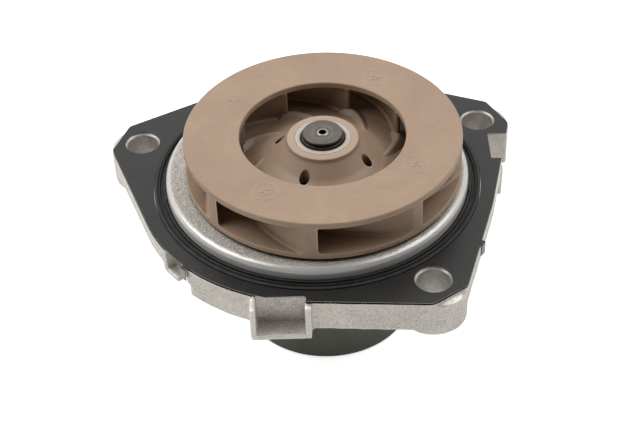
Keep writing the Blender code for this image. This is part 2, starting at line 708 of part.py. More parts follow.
# (r, z): rim outside, belt-side web face, hub bore, then back up inside the rim
PULLEY = [(PULLEY_R - 0.6, PULLEY_TOP), (PULLEY_R, PULLEY_TOP - 0.6),
          (PULLEY_R, PULLEY_END + 1.0), (PULLEY_R - 1.0, PULLEY_END),
          (PULLEY_INNER_R, PULLEY_END), (PULLEY_INNER_R - 0.5, PULLEY_END + 1.2),
          (PULLEY_HUB_R, PULLEY_END + 1.2), (PULLEY_HUB_R, PULLEY_END + 0.4),
          (8.05, PULLEY_END + 0.4), (8.05, -35.0), (PULLEY_HUB_R, -35.0),
          (PULLEY_HUB_R, PULLEY_END + 4.0), (PULLEY_INNER_R, PULLEY_END + 4.0),
          (PULLEY_INNER_R, PULLEY_TOP)]


def make_pulley():
    turned("pulley", PULLEY, BIG, PAINT)


def hang_on_datum():
    """Parents everything to one empty on the shaft axis, in the mounting face."""
    datum = bpy.data.objects.new("mounting_face_datum", None)
    datum.location = (0.0, 0.0, -SHAFT_END * MM)
    scene_root.objects.link(datum)
    for ob in list(pump.objects) + list(tools.objects):
        ob.parent = datum
    bpy.context.view_layer.update()


make_housing()
make_gasket()
make_bearing()
make_seal()
make_impeller()
make_pulley()
hang_on_datum()
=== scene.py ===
"""Looks of an automotive water pump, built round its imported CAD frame.

Every visible piece stands for one CAD node.  The shaft runs along Z, with the
impeller at the top and the belt pulley at the bottom.  Lengths are millimetres
and heights are measured from the housing's mounting face; LIFT takes them to
the CAD frame, which starts at the belt-side end of the shaft.  "Front" is the
impeller side, "rear" the belt side.
"""
import json
import math

import bmesh
import bpy
import numpy as np
from mathutils import Matrix, Vector, noise

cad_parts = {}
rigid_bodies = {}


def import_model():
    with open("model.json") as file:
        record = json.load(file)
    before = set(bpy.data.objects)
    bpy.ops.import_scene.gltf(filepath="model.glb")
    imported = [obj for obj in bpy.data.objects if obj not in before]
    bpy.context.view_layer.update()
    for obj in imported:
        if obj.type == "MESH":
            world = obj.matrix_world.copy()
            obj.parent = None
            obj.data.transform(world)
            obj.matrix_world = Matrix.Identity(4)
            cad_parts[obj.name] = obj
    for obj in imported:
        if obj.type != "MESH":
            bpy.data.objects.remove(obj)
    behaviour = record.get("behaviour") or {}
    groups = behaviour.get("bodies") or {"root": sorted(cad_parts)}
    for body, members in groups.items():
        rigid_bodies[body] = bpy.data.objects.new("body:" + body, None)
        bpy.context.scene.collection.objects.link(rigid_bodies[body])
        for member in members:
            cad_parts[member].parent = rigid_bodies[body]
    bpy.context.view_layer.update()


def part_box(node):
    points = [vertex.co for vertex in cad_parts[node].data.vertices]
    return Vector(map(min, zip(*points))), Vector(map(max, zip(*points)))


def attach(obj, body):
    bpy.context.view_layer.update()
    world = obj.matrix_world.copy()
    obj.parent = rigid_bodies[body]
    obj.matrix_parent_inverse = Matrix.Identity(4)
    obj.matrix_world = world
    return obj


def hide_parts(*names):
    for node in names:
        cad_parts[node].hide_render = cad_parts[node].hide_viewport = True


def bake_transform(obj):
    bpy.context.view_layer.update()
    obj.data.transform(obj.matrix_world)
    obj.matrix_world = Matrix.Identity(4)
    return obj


MM = 0.001
TAU = 2.0 * math.pi

for stray in list(bpy.data.objects):
    bpy.data.objects.remove(stray, do_unlink=True)
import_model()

# ------------------------------------------------------------- dimensions, mm
SPIGOT = (-1.9, 1.2)        # centre of the register and flange disc
SPIGOT_R, SPIGOT_TOP = 42.0, 4.4
FLANGE_R, FLANGE_T = 49.8, 5.0
SKIRT_DEPTH, SKIRT_WALL = 9.5, 4.2
BOSS_R, BOSS_DEPTH, BOLT_HOLE_R = 9.0, 11.2, 4.5
BOLTS = [(-52.0, 19.6), (45.2, 25.7), (27.5, -41.4)]
NECK_R, NECK_END = 18.2, -34.6
GASKET_R, GASKET_HOLE_R = 49.5, 4.98
BEAD_R0, BEAD_R1 = 42.3, 45.4
SHAFT_R, NOSE_R, SHAFT_TOP, SHAFT_STEP, SHAFT_END = 7.95, 6.0, 17.5, 8.2, -44.8
PITCH_R, BALL_R, GROOVE_R, BALLS = 10.15, 3.1, 3.25, 8
ROW_FRONT, ROW_REAR = -15.0, -28.5
RING_R0, RING_R1, RING_TOP, RING_END = 12.3, 15.0, -9.0, -34.4
IMP_R, EYE_R, IMP_TOP, SHROUD_T = 38.0, 22.7, 17.5, 1.8
DISC_BOTTOM, DISC_TOP = 5.2, 7.1
HUB_TOP, HUB_R, BUSH_R = 15.7, 9.84, 8.4
PULLEY_R, PULLEY_TOP, PULLEY_END, PULLEY_WALL = 25.0, -19.8, SHAFT_END, 2.4

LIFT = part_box("shaft")[1].z / MM - SHAFT_TOP


# --------------------------------------------------------------- geometry kit
def place(name, data):
    """A new object in the scene."""
    piece = bpy.data.objects.new(name, data)
    bpy.context.scene.collection.objects.link(piece)
    return piece


def make(name, verts, faces):
    """A mesh object from points in millimetres, lifted into the CAD frame."""
    mesh = bpy.data.meshes.new(name)
    points = np.array(verts, float)
    points[:, 2] += LIFT
    mesh.from_pydata((points * MM).tolist(), [], faces)
    work = bmesh.new()
    work.from_mesh(mesh)
    bmesh.ops.recalc_face_normals(work, faces=work.faces)
    work.to_mesh(mesh)
    work.free()
    return place(name, mesh)


def polar(radius, deg, centre=(0.0, 0.0)):
    angle = math.radians(deg)
    return (centre[0] + radius * math.cos(angle), centre[1] + radius * math.sin(angle))


def soften(corners, closed=True, fine=14.0):
    """Rounds a polyline of (x, y, corner radius), one step per fine degrees."""
    count = len(corners)
    out = []
    for i, (x, y, radius) in enumerate(corners):
        corner = Vector((x, y))
        if radius <= 0 or (not closed and i in (0, count - 1)):
            out.append(tuple(corner))
            continue
        back = Vector(corners[i - 1][:2]) - corner
        ahead = Vector(corners[(i + 1) % count][:2]) - corner
        back_len, ahead_len = back.length, ahead.length
        back.normalize()
        ahead.normalize()
        angle = math.acos(max(-1.0, min(1.0, back.dot(ahead))))
        if angle > math.radians(178.0):
            out.append(tuple(corner))
            continue
        # a short side shrinks the rounding
        setback = min(radius / math.tan(angle / 2), 0.47 * back_len, 0.47 * ahead_len)
        radius = setback * math.tan(angle / 2)
        centre = corner + (back + ahead).normalized() * (radius / math.sin(angle / 2))
        start = corner + back * setback - centre
        end = corner + ahead * setback - centre
        first = math.atan2(start.y, start.x)
        sweep = (math.atan2(end.y, end.x) - first + math.pi) % TAU - math.pi
        steps = max(2, math.ceil(abs(math.degrees(sweep)) / fine))
        for k in range(steps + 1):
            turn = first + sweep * k / steps
            out.append((centre.x + radius * math.cos(turn),
                        centre.y + radius * math.sin(turn)))
    return out


def revolve(name, loop, steps=96, centre=(0.0, 0.0)):
    """Turns an (r, z) loop about the shaft direction.  A loop that starts and
    ends on the axis makes a solid, any other closed loop a ring."""
    on_axis = abs(loop[0][0]) < 1e-9 and abs(loop[-1][0]) < 1e-9
    verts, faces, rows = [], [], []
    for radius, z in loop:
        if abs(radius) < 1e-9:
            rows.append([len(verts)] * steps)
            verts.append((*centre, z))
        else:
            rows.append(list(range(len(verts), len(verts) + steps)))
            verts += [(centre[0] + radius * math.cos(TAU * i / steps),
                       centre[1] + radius * math.sin(TAU * i / steps), z)
                      for i in range(steps)]
    count = len(loop)
    for j in range(count - 1 if on_axis else count):
        near, far = rows[j], rows[(j + 1) % count]
        for i in range(steps):
            k = (i + 1) % steps
            face = list(dict.fromkeys((near[i], near[k], far[k], far[i])))
            if len(face) > 2:
                faces.append(face)
    return make(name, verts, faces)


def turned(name, corners, steps=96, centre=(0.0, 0.0), **rounding):
    """Revolves a profile of (radius, height, corner radius)."""
    return revolve(name, soften(corners, **rounding), steps, centre)


def cylinder(name, radius, top, bottom, steps, centre=(0.0, 0.0)):
    return revolve(name, [(0.0, top), (radius, top), (radius, bottom), (0.0, bottom)],
                   steps, centre)


def loft(name, rings):
    """Closed skin through rings that hold the same number of points."""
    count = len(rings[0])
    verts = [point for ring in rings for point in ring]
    faces = [list(range(count)), list(range(len(verts) - count, len(verts)))]
    for j in range(len(rings) - 1):
        for i in range(count):
            k = (i + 1) % count
            faces.append([j * count + i, j * count + k,
                          (j + 1) * count + k, (j + 1) * count + i])
    return make(name, verts, faces)


def grow(outline, distance):
    """Moves a closed plan outline outwards."""
    count = len(outline)
    area = sum(outline[i - 1][0] * outline[i][1] - outline[i][0] * outline[i - 1][1]
               for i in range(count))
    side = 1.0 if area > 0 else -1.0
    out = []
    for i in range(count):
        before, here, after = (Vector(outline[i - 1]), Vector(outline[i]),
                               Vector(outline[(i + 1) % count]))
        edge0, edge1 = (here - before).normalized(), (after - here).normalized()
        normal0 = Vector((edge0.y, -edge0.x)) * side
        normal1 = Vector((edge1.y, -edge1.x)) * side
        mitre = normal0 + normal1
        mitre = normal0 if mitre.length < 1e-6 else mitre.normalized()
        out.append(tuple(here + mitre * (distance / max(mitre.dot(normal0), 0.5))))
    return out


def plan_loft(name, outline, levels):
    """Loft of one plan outline through levels of (growth, height)."""
    return loft(name, [[(x, y, z) for x, y in grow(outline, growth)]
                       for growth, z in levels])


def prism(name, outline, z0, z1, rounding=0.0):
    """A plate from a plan outline, its upper and lower edges rounded in two steps."""
    levels = [(0.0, z0), (0.0, z1)]
    if rounding > 0:
        quarter = [(rounding * math.cos(turn), rounding * math.sin(turn))
                   for turn in (math.radians(45.0 * k) for k in range(3))]
        levels = [(-rounding + rise, z0 + rounding - run) for run, rise in quarter]
        levels += [(-rounding + run, z1 - rounding + rise) for run, rise in quarter]
    return plan_loft(name, outline, levels)


def block(name, x0, x1, y0, y1, z0, z1):
    return prism(name, [(x0, y0), (x1, y0), (x1, y1), (x0, y1)], z0, z1)


def spin(deg):
    return Matrix.Rotation(math.radians(deg), 4, "Z")


def shift(x, y, z):
    return Matrix.Translation(Vector((x, y, z)) * MM)


def stand_up(piece, deg, centre=(0.0, 0.0)):
    """Takes a plate drawn as (radius, height) in plan and stands it on edge,
    pointing outwards at the given angle."""
    piece.data.transform(shift(0.0, 0.0, -LIFT))
    piece.data.transform(shift(*centre, LIFT) @ spin(deg)
                         @ Matrix.Rotation(math.radians(90.0), 4, "X"))
    return piece


def settle(piece):
    """Applies the modifiers of an object."""
    bpy.context.view_layer.update()
    graph = bpy.context.evaluated_depsgraph_get()
    mesh = bpy.data.meshes.new_from_object(piece.evaluated_get(graph))
    piece.modifiers.clear()
    old = piece.data
    piece.data = mesh
    mesh.name = piece.name
    bpy.data.meshes.remove(old)


def boolean(piece, how, tool, solver):
    modifier = piece.modifiers.new("bool", "BOOLEAN")
    modifier.operation, modifier.solver, modifier.object = how, solver, tool
    settle(piece)


def cut_or_join(piece, how, *tools):
    """One Boolean per tool, then the tools are removed."""
    for tool in tools:
        before = len(piece.data.polygons)
        spare = piece.data.copy()
        boolean(piece, how, tool, "MANIFOLD")
        # the quick solver leaves nothing when a mesh is not watertight
        if len(piece.data.polygons) < min(4, before):
            piece.data = spare
            boolean(piece, how, tool, "EXACT")
        bpy.data.objects.remove(tool, do_unlink=True)


# ------------------------------------------------------------------ materials
FALL = (1.0, 0.0)           # output range of a mask that fades out


class Graph:
    """Short hand for filling a node tree."""

    def __init__(self, tree):
        self.tree = tree

    def put(self, socket, value):
        """Sets a socket to a number, a colour or another node's output."""
        if isinstance(value, bpy.types.NodeSocket):
            self.tree.links.new(value, socket)
        elif isinstance(value, tuple) and socket.type == "RGBA":
            socket.default_value = (*value, 1.0)
        else:
            socket.default_value = value

    def node(self, kind, inputs=None, **settings):
        """Adds a node with its settings and inputs, and returns its outputs."""
        node = self.tree.nodes.new("ShaderNode" + kind)
        for key, value in settings.items():
            setattr(node, key, value)
        for key, value in (inputs or {}).items():
            self.put(node.inputs[key], value)
        return node.outputs

    def calc(self, operation, first, second=0.0):
        return self.node("Math", {0: first, 1: second}, operation=operation)[0]

    def times(self, first, second):
        return self.calc("MULTIPLY", first, second)

    def span(self, value, over=(0.3, 0.7), to=(0.0, 1.0), soft=False):
        """Maps one range to another, clamped; by default the middle of a noise."""
        return self.node("MapRange", {
            "Value": value, "From Min": over[0], "From Max": over[1],
            "To Min": to[0], "To Max": to[1]},
            interpolation_type="SMOOTHSTEP" if soft else "LINEAR")["Result"]

    def blend(self, share, low, high):
        """Mix of two numbers."""
        return self.node("Mix", {0: share, 2: low, 3: high}, data_type="FLOAT")[0]


class Shader(Graph):
    """One procedural material; its patterns are laid out in millimetres."""

    def __init__(self, name):
        self.mat = bpy.data.materials.new(name)
        self.mat.use_nodes = True
        super().__init__(self.mat.node_tree)
        place_in = self.node("TexCoord")["Object"]
        self.mm = self.node("VectorMath", {0: place_in, "Scale": 1.0 / MM},
                            operation="SCALE")[0]

    def noise(self, scale, detail=3.0, rough=0.55, distort=0.0, vector=None):
        return self.node("TexNoise", {
            "Vector": vector or self.mm, "Scale": scale, "Detail": detail,
            "Roughness": rough, "Distortion": distort})["Fac"]

    def cells(self, scale):
        return self.node("TexVoronoi", {"Vector": self.mm, "Scale": scale})["Distance"]

    def mix(self, share, tone, other):
        """Mix of two colours."""
        return self.node("Mix", {0: share, 6: tone, 7: other}, data_type="RGBA")[2]

    def tint(self, tone, other, mask, amount):
        return self.mix(self.times(mask, amount), tone, other)

    def height(self, z=None):
        """Height above the mounting face."""
        if z is None:
            z = self.node("SeparateXYZ", {0: self.mm})[2]
        return self.calc("SUBTRACT", z, LIFT)

    def radius_height(self, centre=(0.0, 0.0)):
        """Distance from an upright line, and the height."""
        parts = self.node("SeparateXYZ", {0: self.mm})
        x = self.calc("SUBTRACT", parts[0], centre[0])
        y = self.calc("SUBTRACT", parts[1], centre[1])
        square = self.calc("ADD", self.times(x, x), self.times(y, y))
        return self.calc("SQRT", square), self.height(parts[2])

    def rings(self, coords, pitch, detail=3.0, rough=0.7):
        """Tool lines: noise over coordinates scaled by pitch, None being still."""
        scaled = [0.0 if coord is None else self.times(coord, pitch) for coord in coords]
        vector = self.node("CombineXYZ", dict(enumerate(scaled)))[0]
        return self.noise(scale=1.0, detail=detail, rough=rough, vector=vector)

    def bump(self, height, depth, strength):
        return self.node("Bump", {"Strength": strength, "Distance": depth * MM,
                                  "Height": height})["Normal"]

    def edges(self, over):
        """Where the mesh is convex: a mask for lighter edges, painted highlights on the
        casting.
        """
        return self.span(self.node("NewGeometry")["Pointiness"], over)

    def cavity(self, reach, local=True):
        """1 in the open, falling to 0 deep inside a pocket of that reach."""
        return self.node("AmbientOcclusion", {"Distance": reach * MM},
                         samples=6, only_local=local)["AO"]

    def rims(self, size, over):
        """1 along sharp edges, from how far a bevelled normal would lean over."""
        bevelled = self.node("Bevel", {"Radius": size * MM}, samples=6)[0]
        normal = self.node("NewGeometry")["Normal"]
        same = self.node("VectorMath", {0: bevelled, 1: normal},
                         operation="DOT_PRODUCT")["Value"]
        return self.span(self.calc("SUBTRACT", 1.0, same), over)

    def finish(self, colour, rough, normal, metal=0.0, specular=0.5):
        sockets = self.tree.nodes["Principled BSDF"].inputs
        for key, value in (("Base Color", colour), ("Roughness", rough),
                           ("Metallic", metal), ("Normal", normal),
                           ("Specular IOR Level", specular)):
            self.put(sockets[key], value)
        return self.mat


def cast_aluminium():
    """Die-cast skin: fine grain, cloudy patches, a few darker pores."""
    mat = Shader("cast_aluminium")
    glint = (0.92, 0.90, 0.86)
    cloud = mat.noise(scale=0.11, detail=4.0, rough=0.6, distort=0.4)
    patch = mat.noise(scale=0.75, detail=5.0, rough=0.65)
    grain = mat.noise(scale=3.2, rough=0.6)
    pore = mat.span(mat.cells(scale=0.9), over=(0.0, 0.16), to=FALL, soft=True)
    pore = mat.times(pore, mat.span(mat.noise(scale=0.3, detail=2.0), over=(0.52, 0.62)))
    tone = mat.mix(mat.span(cloud, over=(0.32, 0.68)),
                   (0.66, 0.615, 0.57), (0.80, 0.755, 0.70))
    tone = mat.tint(tone, (0.50, 0.46, 0.42), mat.span(patch, over=(0.45, 0.72)),
                    amount=0.40)
    # salt and pepper: sand grains catch the light, the pits between stay dark
    tone = mat.tint(tone, glint, mat.span(grain, over=(0.53, 0.66)), amount=0.70)
    tone = mat.tint(tone, (0.25, 0.225, 0.20), mat.span(grain, over=(0.46, 0.34)),
                    amount=0.65)
    tone = mat.tint(tone, (0.16, 0.15, 0.14), pore, amount=0.7)
    # painted highlights along the convex and sharp edges
    tone = mat.tint(tone, glint, mat.edges(over=(0.505, 0.545)), amount=0.7)
    tone = mat.tint(tone, glint, mat.rims(size=0.45, over=(0.04, 0.20)), amount=0.8)
    height = mat.calc("ADD", mat.times(grain, 0.75), mat.times(patch, 0.8))
    height = mat.calc("SUBTRACT", height, mat.times(pore, 0.8))
    return mat.finish(tone, rough=mat.span(patch, to=(0.40, 0.55)), metal=0.50,
                      normal=mat.bump(height, depth=0.085, strength=0.85))


def machined_aluminium():
    """Turned faces: bright, with fine tool lines round the axis."""
    mat = Shader("machined_aluminium")
    radius, height = mat.radius_height(SPIGOT)
    lines = mat.rings((radius, height, None), pitch=5.0)
    stain = mat.noise(scale=0.35, detail=4.0, rough=0.6)
    tone = mat.mix(mat.span(lines), (0.66, 0.65, 0.63), (0.82, 0.81, 0.79))
    tone = mat.tint(tone, (0.50, 0.48, 0.45), mat.span(stain, over=(0.5, 0.72)),
                    amount=0.35)
    return mat.finish(tone, rough=mat.span(stain, to=(0.17, 0.30)), metal=1.0,
                      normal=mat.bump(lines, depth=0.012, strength=0.5))


def register_metal():
    """The register: sandy cast top that turns into a polished shoulder."""
    mat = Shader("register_metal")
    radius, height = mat.radius_height(SPIGOT)
    wander = mat.calc("SUBTRACT", mat.noise(scale=0.8, rough=0.6), 0.5)
    edge = mat.calc("ADD", radius, mat.times(wander, 0.7))
    polish = mat.span(edge, over=(SPIGOT_R - 1.55, SPIGOT_R - 0.95), soft=True)
    grain = mat.noise(scale=3.4, detail=2.0, rough=0.7)
    sand = mat.cells(scale=2.6)
    patch = mat.noise(scale=0.5, detail=4.0, rough=0.65)
    tone = mat.mix(mat.span(grain, over=(0.36, 0.62)),
                   (0.24, 0.215, 0.19), (0.88, 0.84, 0.79))
    tone = mat.tint(tone, (0.34, 0.30, 0.265), mat.span(patch, over=(0.5, 0.75)),
                    amount=0.30)
    lines = mat.rings((radius, height, None), pitch=4.0)
    bright = mat.mix(mat.span(lines), (0.64, 0.62, 0.60), (0.84, 0.82, 0.80))
    tone = mat.mix(polish, tone, bright)
    # painted shade in the narrow gap below the impeller
    gap_shade = mat.span(mat.cavity(reach=3.0, local=False), over=(0.22, 0.50), to=(0.95, 0.0))
    tone = mat.mix(gap_shade, tone, (0.012, 0.010, 0.009))
    relief = mat.calc("ADD", mat.times(grain, 1.0), mat.times(sand, 0.8))
    relief = mat.times(relief, mat.calc("SUBTRACT", 1.0, polish))
    relief = mat.calc("ADD", relief, mat.times(lines, 0.06))
    return mat.finish(tone, rough=mat.blend(polish, mat.span(grain, to=(0.50, 0.36)), 0.27),
                      metal=mat.blend(polish, 0.12, 0.28),
                      normal=mat.bump(relief, depth=0.13, strength=0.9))


def drilled_metal():
    """Bolt bores: dull grey drilled aluminium with fine rings."""
    mat = Shader("drilled_metal")
    lines = mat.rings((None, None, mat.height()), pitch=5.0, detail=2.0, rough=0.6)
    cloud = mat.noise(scale=0.6, detail=4.0, rough=0.65)
    grain = mat.noise(scale=2.6, rough=0.65)
    tone = mat.mix(mat.span(cloud), (0.44, 0.415, 0.39), (0.66, 0.63, 0.60))
    tone = mat.tint(tone, (0.26, 0.24, 0.22), mat.span(grain, over=(0.5, 0.66)),
                    amount=0.5)
    relief = mat.calc("ADD", lines, mat.times(grain, 1.5))
    return mat.finish(tone, rough=mat.span(cloud, to=(0.34, 0.48)), metal=0.60,
                      normal=mat.bump(relief, depth=0.03, strength=0.7))


def moulded_plastic():
    """Glass-filled brown plastic: satin, faintly cloudy, with painted highlights on its
    edges.
    """
    mat = Shader("moulded_brown_plastic")
    cloud = mat.noise(scale=0.07, distort=0.6)
    flow = mat.noise(scale=0.5, detail=4.0, rough=0.6)
    fibre = mat.noise(scale=5.0, detail=2.0, rough=0.6)
    speck = mat.span(mat.cells(scale=0.42), over=(0.0, 0.07), to=FALL)
    speck = mat.times(speck, mat.span(mat.noise(scale=0.2, detail=1.0), over=(0.60, 0.64)))
    tone = mat.mix(mat.span(cloud), (0.375, 0.258, 0.180), (0.435, 0.302, 0.212))
    tone = mat.tint(tone, (0.335, 0.232, 0.162), mat.span(flow, over=(0.42, 0.75)),
                    amount=0.30)
    tone = mat.tint(tone, (0.56, 0.43, 0.33), mat.span(fibre, over=(0.5, 0.8)),
                    amount=0.18)
    # painted highlight along the sharp edges
    tone = mat.tint(tone, (0.68, 0.56, 0.46), mat.rims(size=0.45, over=(0.02, 0.12)),
                    amount=0.6)
    # the hub's end face is paler
    radius, height = mat.radius_height()
    face = mat.times(mat.span(radius, over=(HUB_R - 0.1, HUB_R + 0.35), to=FALL),
                     mat.span(height, over=(HUB_TOP - 0.5, HUB_TOP - 0.25)))
    tone = mat.tint(tone, (0.60, 0.49, 0.40), face, amount=0.30)
    # painted shade: deep in the pockets the colour darkens towards dark brown
    pocket = mat.span(mat.cavity(reach=11.0), over=(0.30, 0.76), to=(0.85, 0.0))
    tone = mat.mix(pocket, tone, (0.085, 0.045, 0.020))
    # painted shade: a dark band round the eye, below the shroud
    inner = mat.times(mat.span(radius, over=(15.5, 20.5), soft=True),
                      mat.span(radius, over=(25.0, 30.0), to=FALL, soft=True))
    inner = mat.times(inner, mat.span(height, over=(15.0, 15.8), to=FALL))
    tone = mat.tint(tone, (0.110, 0.066, 0.040), inner, amount=0.50)
    tone = mat.tint(tone, (0.72, 0.66, 0.58), speck, amount=0.8)
    relief = mat.calc("ADD", mat.times(fibre, 0.35), flow)
    return mat.finish(tone, rough=mat.span(flow, to=(0.40, 0.50)),
                      normal=mat.bump(relief, depth=0.030, strength=0.55))


def coated_steel():
    """Gasket sheet: charcoal coating with fine texture, bare steel cut edge."""
    mat = Shader("coated_gasket_steel")
    grain = mat.noise(scale=4.0, rough=0.6)
    cloud = mat.noise(scale=0.16, detail=4.0, rough=0.6)
    facing = mat.node("SeparateXYZ", {0: mat.node("NewGeometry")["Normal"]})[2]
    side = mat.span(mat.calc("ABSOLUTE", facing), over=(0.25, 0.6), to=FALL)
    tone = mat.mix(mat.span(cloud), (0.012, 0.012, 0.012), (0.018, 0.018, 0.018))
    tone = mat.tint(tone, (0.035, 0.035, 0.035), mat.span(grain, over=(0.5, 0.8)),
                    amount=0.4)
    tone = mat.tint(tone, (0.42, 0.415, 0.40), side, amount=0.85)
    return mat.finish(tone, rough=mat.span(grain, to=(0.30, 0.40)),
                      metal=mat.times(side, 0.8), specular=0.55,
                      normal=mat.bump(grain, depth=0.014, strength=0.6))


def turned_steel(name, dark, light, sheen, pitch=4.0, depth=0.012, metal=1.0, hollow=0.0):
    """Metal with tool lines that run round the shaft axis.  A hollow is the radius of the
    shaft's centre drilling, which is painted dark, and brings the stains of its nose."""
    mat = Shader(name)
    radius, height = mat.radius_height()
    lines = mat.rings((radius, height, None), pitch, detail=4.0, rough=0.75)
    stain = mat.noise(scale=0.5, detail=4.0, rough=0.6)
    tone = mat.mix(mat.span(lines, over=(0.25, 0.75)), dark, light)
    tone = mat.tint(tone, tuple(0.6 * part for part in dark),
                    mat.span(stain, over=(0.5, 0.75)), amount=0.3)
    if hollow > 0:
        # the centre drilling is painted dark, and the side of the nose has turned brown
        # where it stood in coolant
        drilling_dark = mat.span(radius, over=(0.98 * hollow, 1.10 * hollow), to=FALL)
        tone = mat.mix(drilling_dark, tone, (0.075, 0.066, 0.058))
        ring = mat.times(mat.span(radius, over=(1.05 * hollow, 1.12 * hollow)),
                         mat.span(radius, over=(1.5 * hollow, 1.6 * hollow), to=FALL))
        tone = mat.tint(tone, (0.70, 0.68, 0.65), ring, amount=0.45)
        low = mat.span(height, over=(SHAFT_TOP - 0.35, SHAFT_TOP - 0.22), to=FALL)
        brown = mat.times(low, mat.span(height, over=(6.0, 8.0)))
        tone = mat.tint(tone, (0.055, 0.040, 0.030), brown, amount=0.88)
    return mat.finish(tone, rough=mat.span(stain, to=sheen), metal=metal,
                      normal=mat.bump(lines, depth, strength=0.6))


def satin_paint():
    """Dark greenish paint on the pressed pulley, slightly orange-peeled."""
    mat = Shader("dark_pulley_paint")
    peel = mat.noise(scale=0.8, rough=0.5)
    cloud = mat.noise(scale=0.09, detail=4.0, rough=0.6)
    scuff = mat.span(mat.noise(scale=1.6, detail=5.0, rough=0.7), over=(0.62, 0.75))
    tone = mat.mix(mat.span(cloud), (0.120, 0.124, 0.102), (0.165, 0.168, 0.145))
    tone = mat.tint(tone, (0.20, 0.205, 0.19), mat.edges(over=(0.52, 0.60)), amount=0.35)
    tone = mat.tint(tone, (0.17, 0.17, 0.15), scuff, amount=0.2)
    return mat.finish(tone, rough=mat.span(peel, to=(0.36, 0.46)),
                      normal=mat.bump(peel, depth=0.03, strength=0.35))


def plain(name, dark, light, sheen, grain, cloud=None, over=(0.3, 0.7), depth=0.02,
          strength=0.4, specular=0.5):
    """Two tones spread by the cloud noise, or by the grain if there is none, with
    fine grain in the roughness and the relief."""
    mat = Shader(name)
    fine = mat.noise(**grain)
    spread = mat.noise(**cloud) if cloud else fine
    tone = mat.mix(mat.span(spread, over), dark, light)
    return mat.finish(tone, rough=mat.span(fine, to=sheen), specular=specular,
                      normal=mat.bump(fine, depth, strength))


def rubber(name, dark, light, sheen):
    return plain(name, dark, light, sheen, grain=dict(scale=2.5, detail=4.0, rough=0.65),
                 cloud=dict(scale=0.3), over=(0.35, 0.7), strength=0.5, specular=0.45)


CAST = cast_aluminium()
MACHINED = machined_aluminium()
REGISTER = register_metal()
DRILLED = drilled_metal()
PLASTIC = moulded_plastic()
COATED = coated_steel()
RUBBER = rubber("black_rubber", dark=(0.012, 0.012, 0.012), light=(0.030, 0.030, 0.030),
                sheen=(0.38, 0.55))
BEAD = rubber("gasket_bead_rubber", dark=(0.016, 0.016, 0.016),
              light=(0.032, 0.032, 0.032), sheen=(0.46, 0.62))
SHAFT_STEEL = turned_steel(
    "ground_shaft_steel", dark=(0.065, 0.057, 0.050), light=(0.29, 0.262, 0.240),
    sheen=(0.30, 0.44), pitch=2.2, depth=0.04, hollow=1.0)
STEEL = turned_steel("bearing_steel", dark=(0.50, 0.50, 0.51), light=(0.62, 0.62, 0.63),
                     sheen=(0.14, 0.24))
BRIGHT = turned_steel(
    "sintered_bush", dark=(0.47, 0.415, 0.36), light=(0.70, 0.64, 0.575),
    sheen=(0.40, 0.55), pitch=2.6, depth=0.04, metal=0.15)
BRASS = turned_steel("seal_brass", dark=(0.55, 0.40, 0.15), light=(0.70, 0.53, 0.24),
                     sheen=(0.2, 0.34))
PAINT = satin_paint()
NYLON = plain("cage_nylon", dark=(0.24, 0.185, 0.095), light=(0.33, 0.26, 0.14),
              sheen=(0.42, 0.55), grain=dict(scale=4.0, detail=2.0),
              cloud=dict(scale=0.6, detail=4.0, rough=0.6))
CARBON = plain("seal_carbon", dark=(0.018, 0.018, 0.019), light=(0.045, 0.045, 0.047),
               sheen=(0.24, 0.40), grain=dict(scale=6.0, rough=0.7), over=(0.4, 0.7),
               depth=0.01)
CERAMIC = plain("seal_ceramic", dark=(0.70, 0.67, 0.60), light=(0.80, 0.78, 0.72),
                sheen=(0.22, 0.34), grain=dict(scale=5.0, rough=0.6),
                cloud=dict(scale=0.3), depth=0.008)


def dress(piece, node, mat, smooth, weighted):
    """Names a piece, gives it its material and shades it smooth up to an angle."""
    piece.name = "visual_" + node
    piece.data.name = piece.name
    if mat is not None:
        piece.data.materials.clear()
        piece.data.materials.append(mat)
    piece.data.shade_smooth()
    piece.data.set_sharp_from_angle(angle=math.radians(smooth))
    if weighted:
        modifier = piece.modifiers.new("even_normals", "WEIGHTED_NORMAL")
        modifier.keep_sharp = True
        modifier.weight = 60


def tie(piece, node, body, slot):
    """Ties a piece to its moving body and hides the CAD node it stands for."""
    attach(piece, body)
    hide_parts(node)


def finish_piece(piece, node, body, mat, slot, smooth=32.0, weighted=True):
    dress(piece, node, mat, smooth, weighted)
    tie(piece, node, body, slot)


# ------------------------------------------------------ flange outline in plan
RIM_STEP = 1.5              # degrees between points on the disc's rim


def eased(before, corner, after, size):
    """Replaces a corner by a quadratic curve that starts and ends size away."""
    corner = Vector(corner)
    back = (Vector(before) - corner).normalized() * size
    ahead = (Vector(after) - corner).normalized() * size
    return [tuple((1 - share) ** 2 * (corner + back) + 2 * share * (1 - share) * corner
                  + share ** 2 * (corner + ahead)) for share in (i / 8 for i in range(9))]


def flange_outline(disc_r, lobe_r, ease):
    """The disc and a lobe round each bolt, joined by their common tangents."""
    lobes = []
    for bolt in BOLTS:
        dx, dy = bolt[0] - SPIGOT[0], bolt[1] - SPIGOT[1]
        axis = math.degrees(math.atan2(dy, dx))
        swing = math.degrees(math.acos((disc_r - lobe_r) / math.hypot(dx, dy)))
        lobes.append((axis, axis - swing, axis + swing, bolt))
    lobes.sort()
    outline = []
    for i, (_, start, end, bolt) in enumerate(lobes):
        rim0, rim1 = polar(disc_r, start, SPIGOT), polar(disc_r, end, SPIGOT)
        lobe0, lobe1 = polar(lobe_r, start, bolt), polar(lobe_r, end, bolt)
        outline += [rim0, *eased(rim0, lobe0, lobe1, ease),
                    *eased(lobe0, lobe1, rim1, ease), rim1]
        following = lobes[(i + 1) % len(lobes)][1]
        while following <= end:
            following += 360.0
        count = max(2, round((following - end) / RIM_STEP))
        outline += [polar(disc_r, end + (following - end) * k / count, SPIGOT)
                    for k in range(1, count)]
    return outline


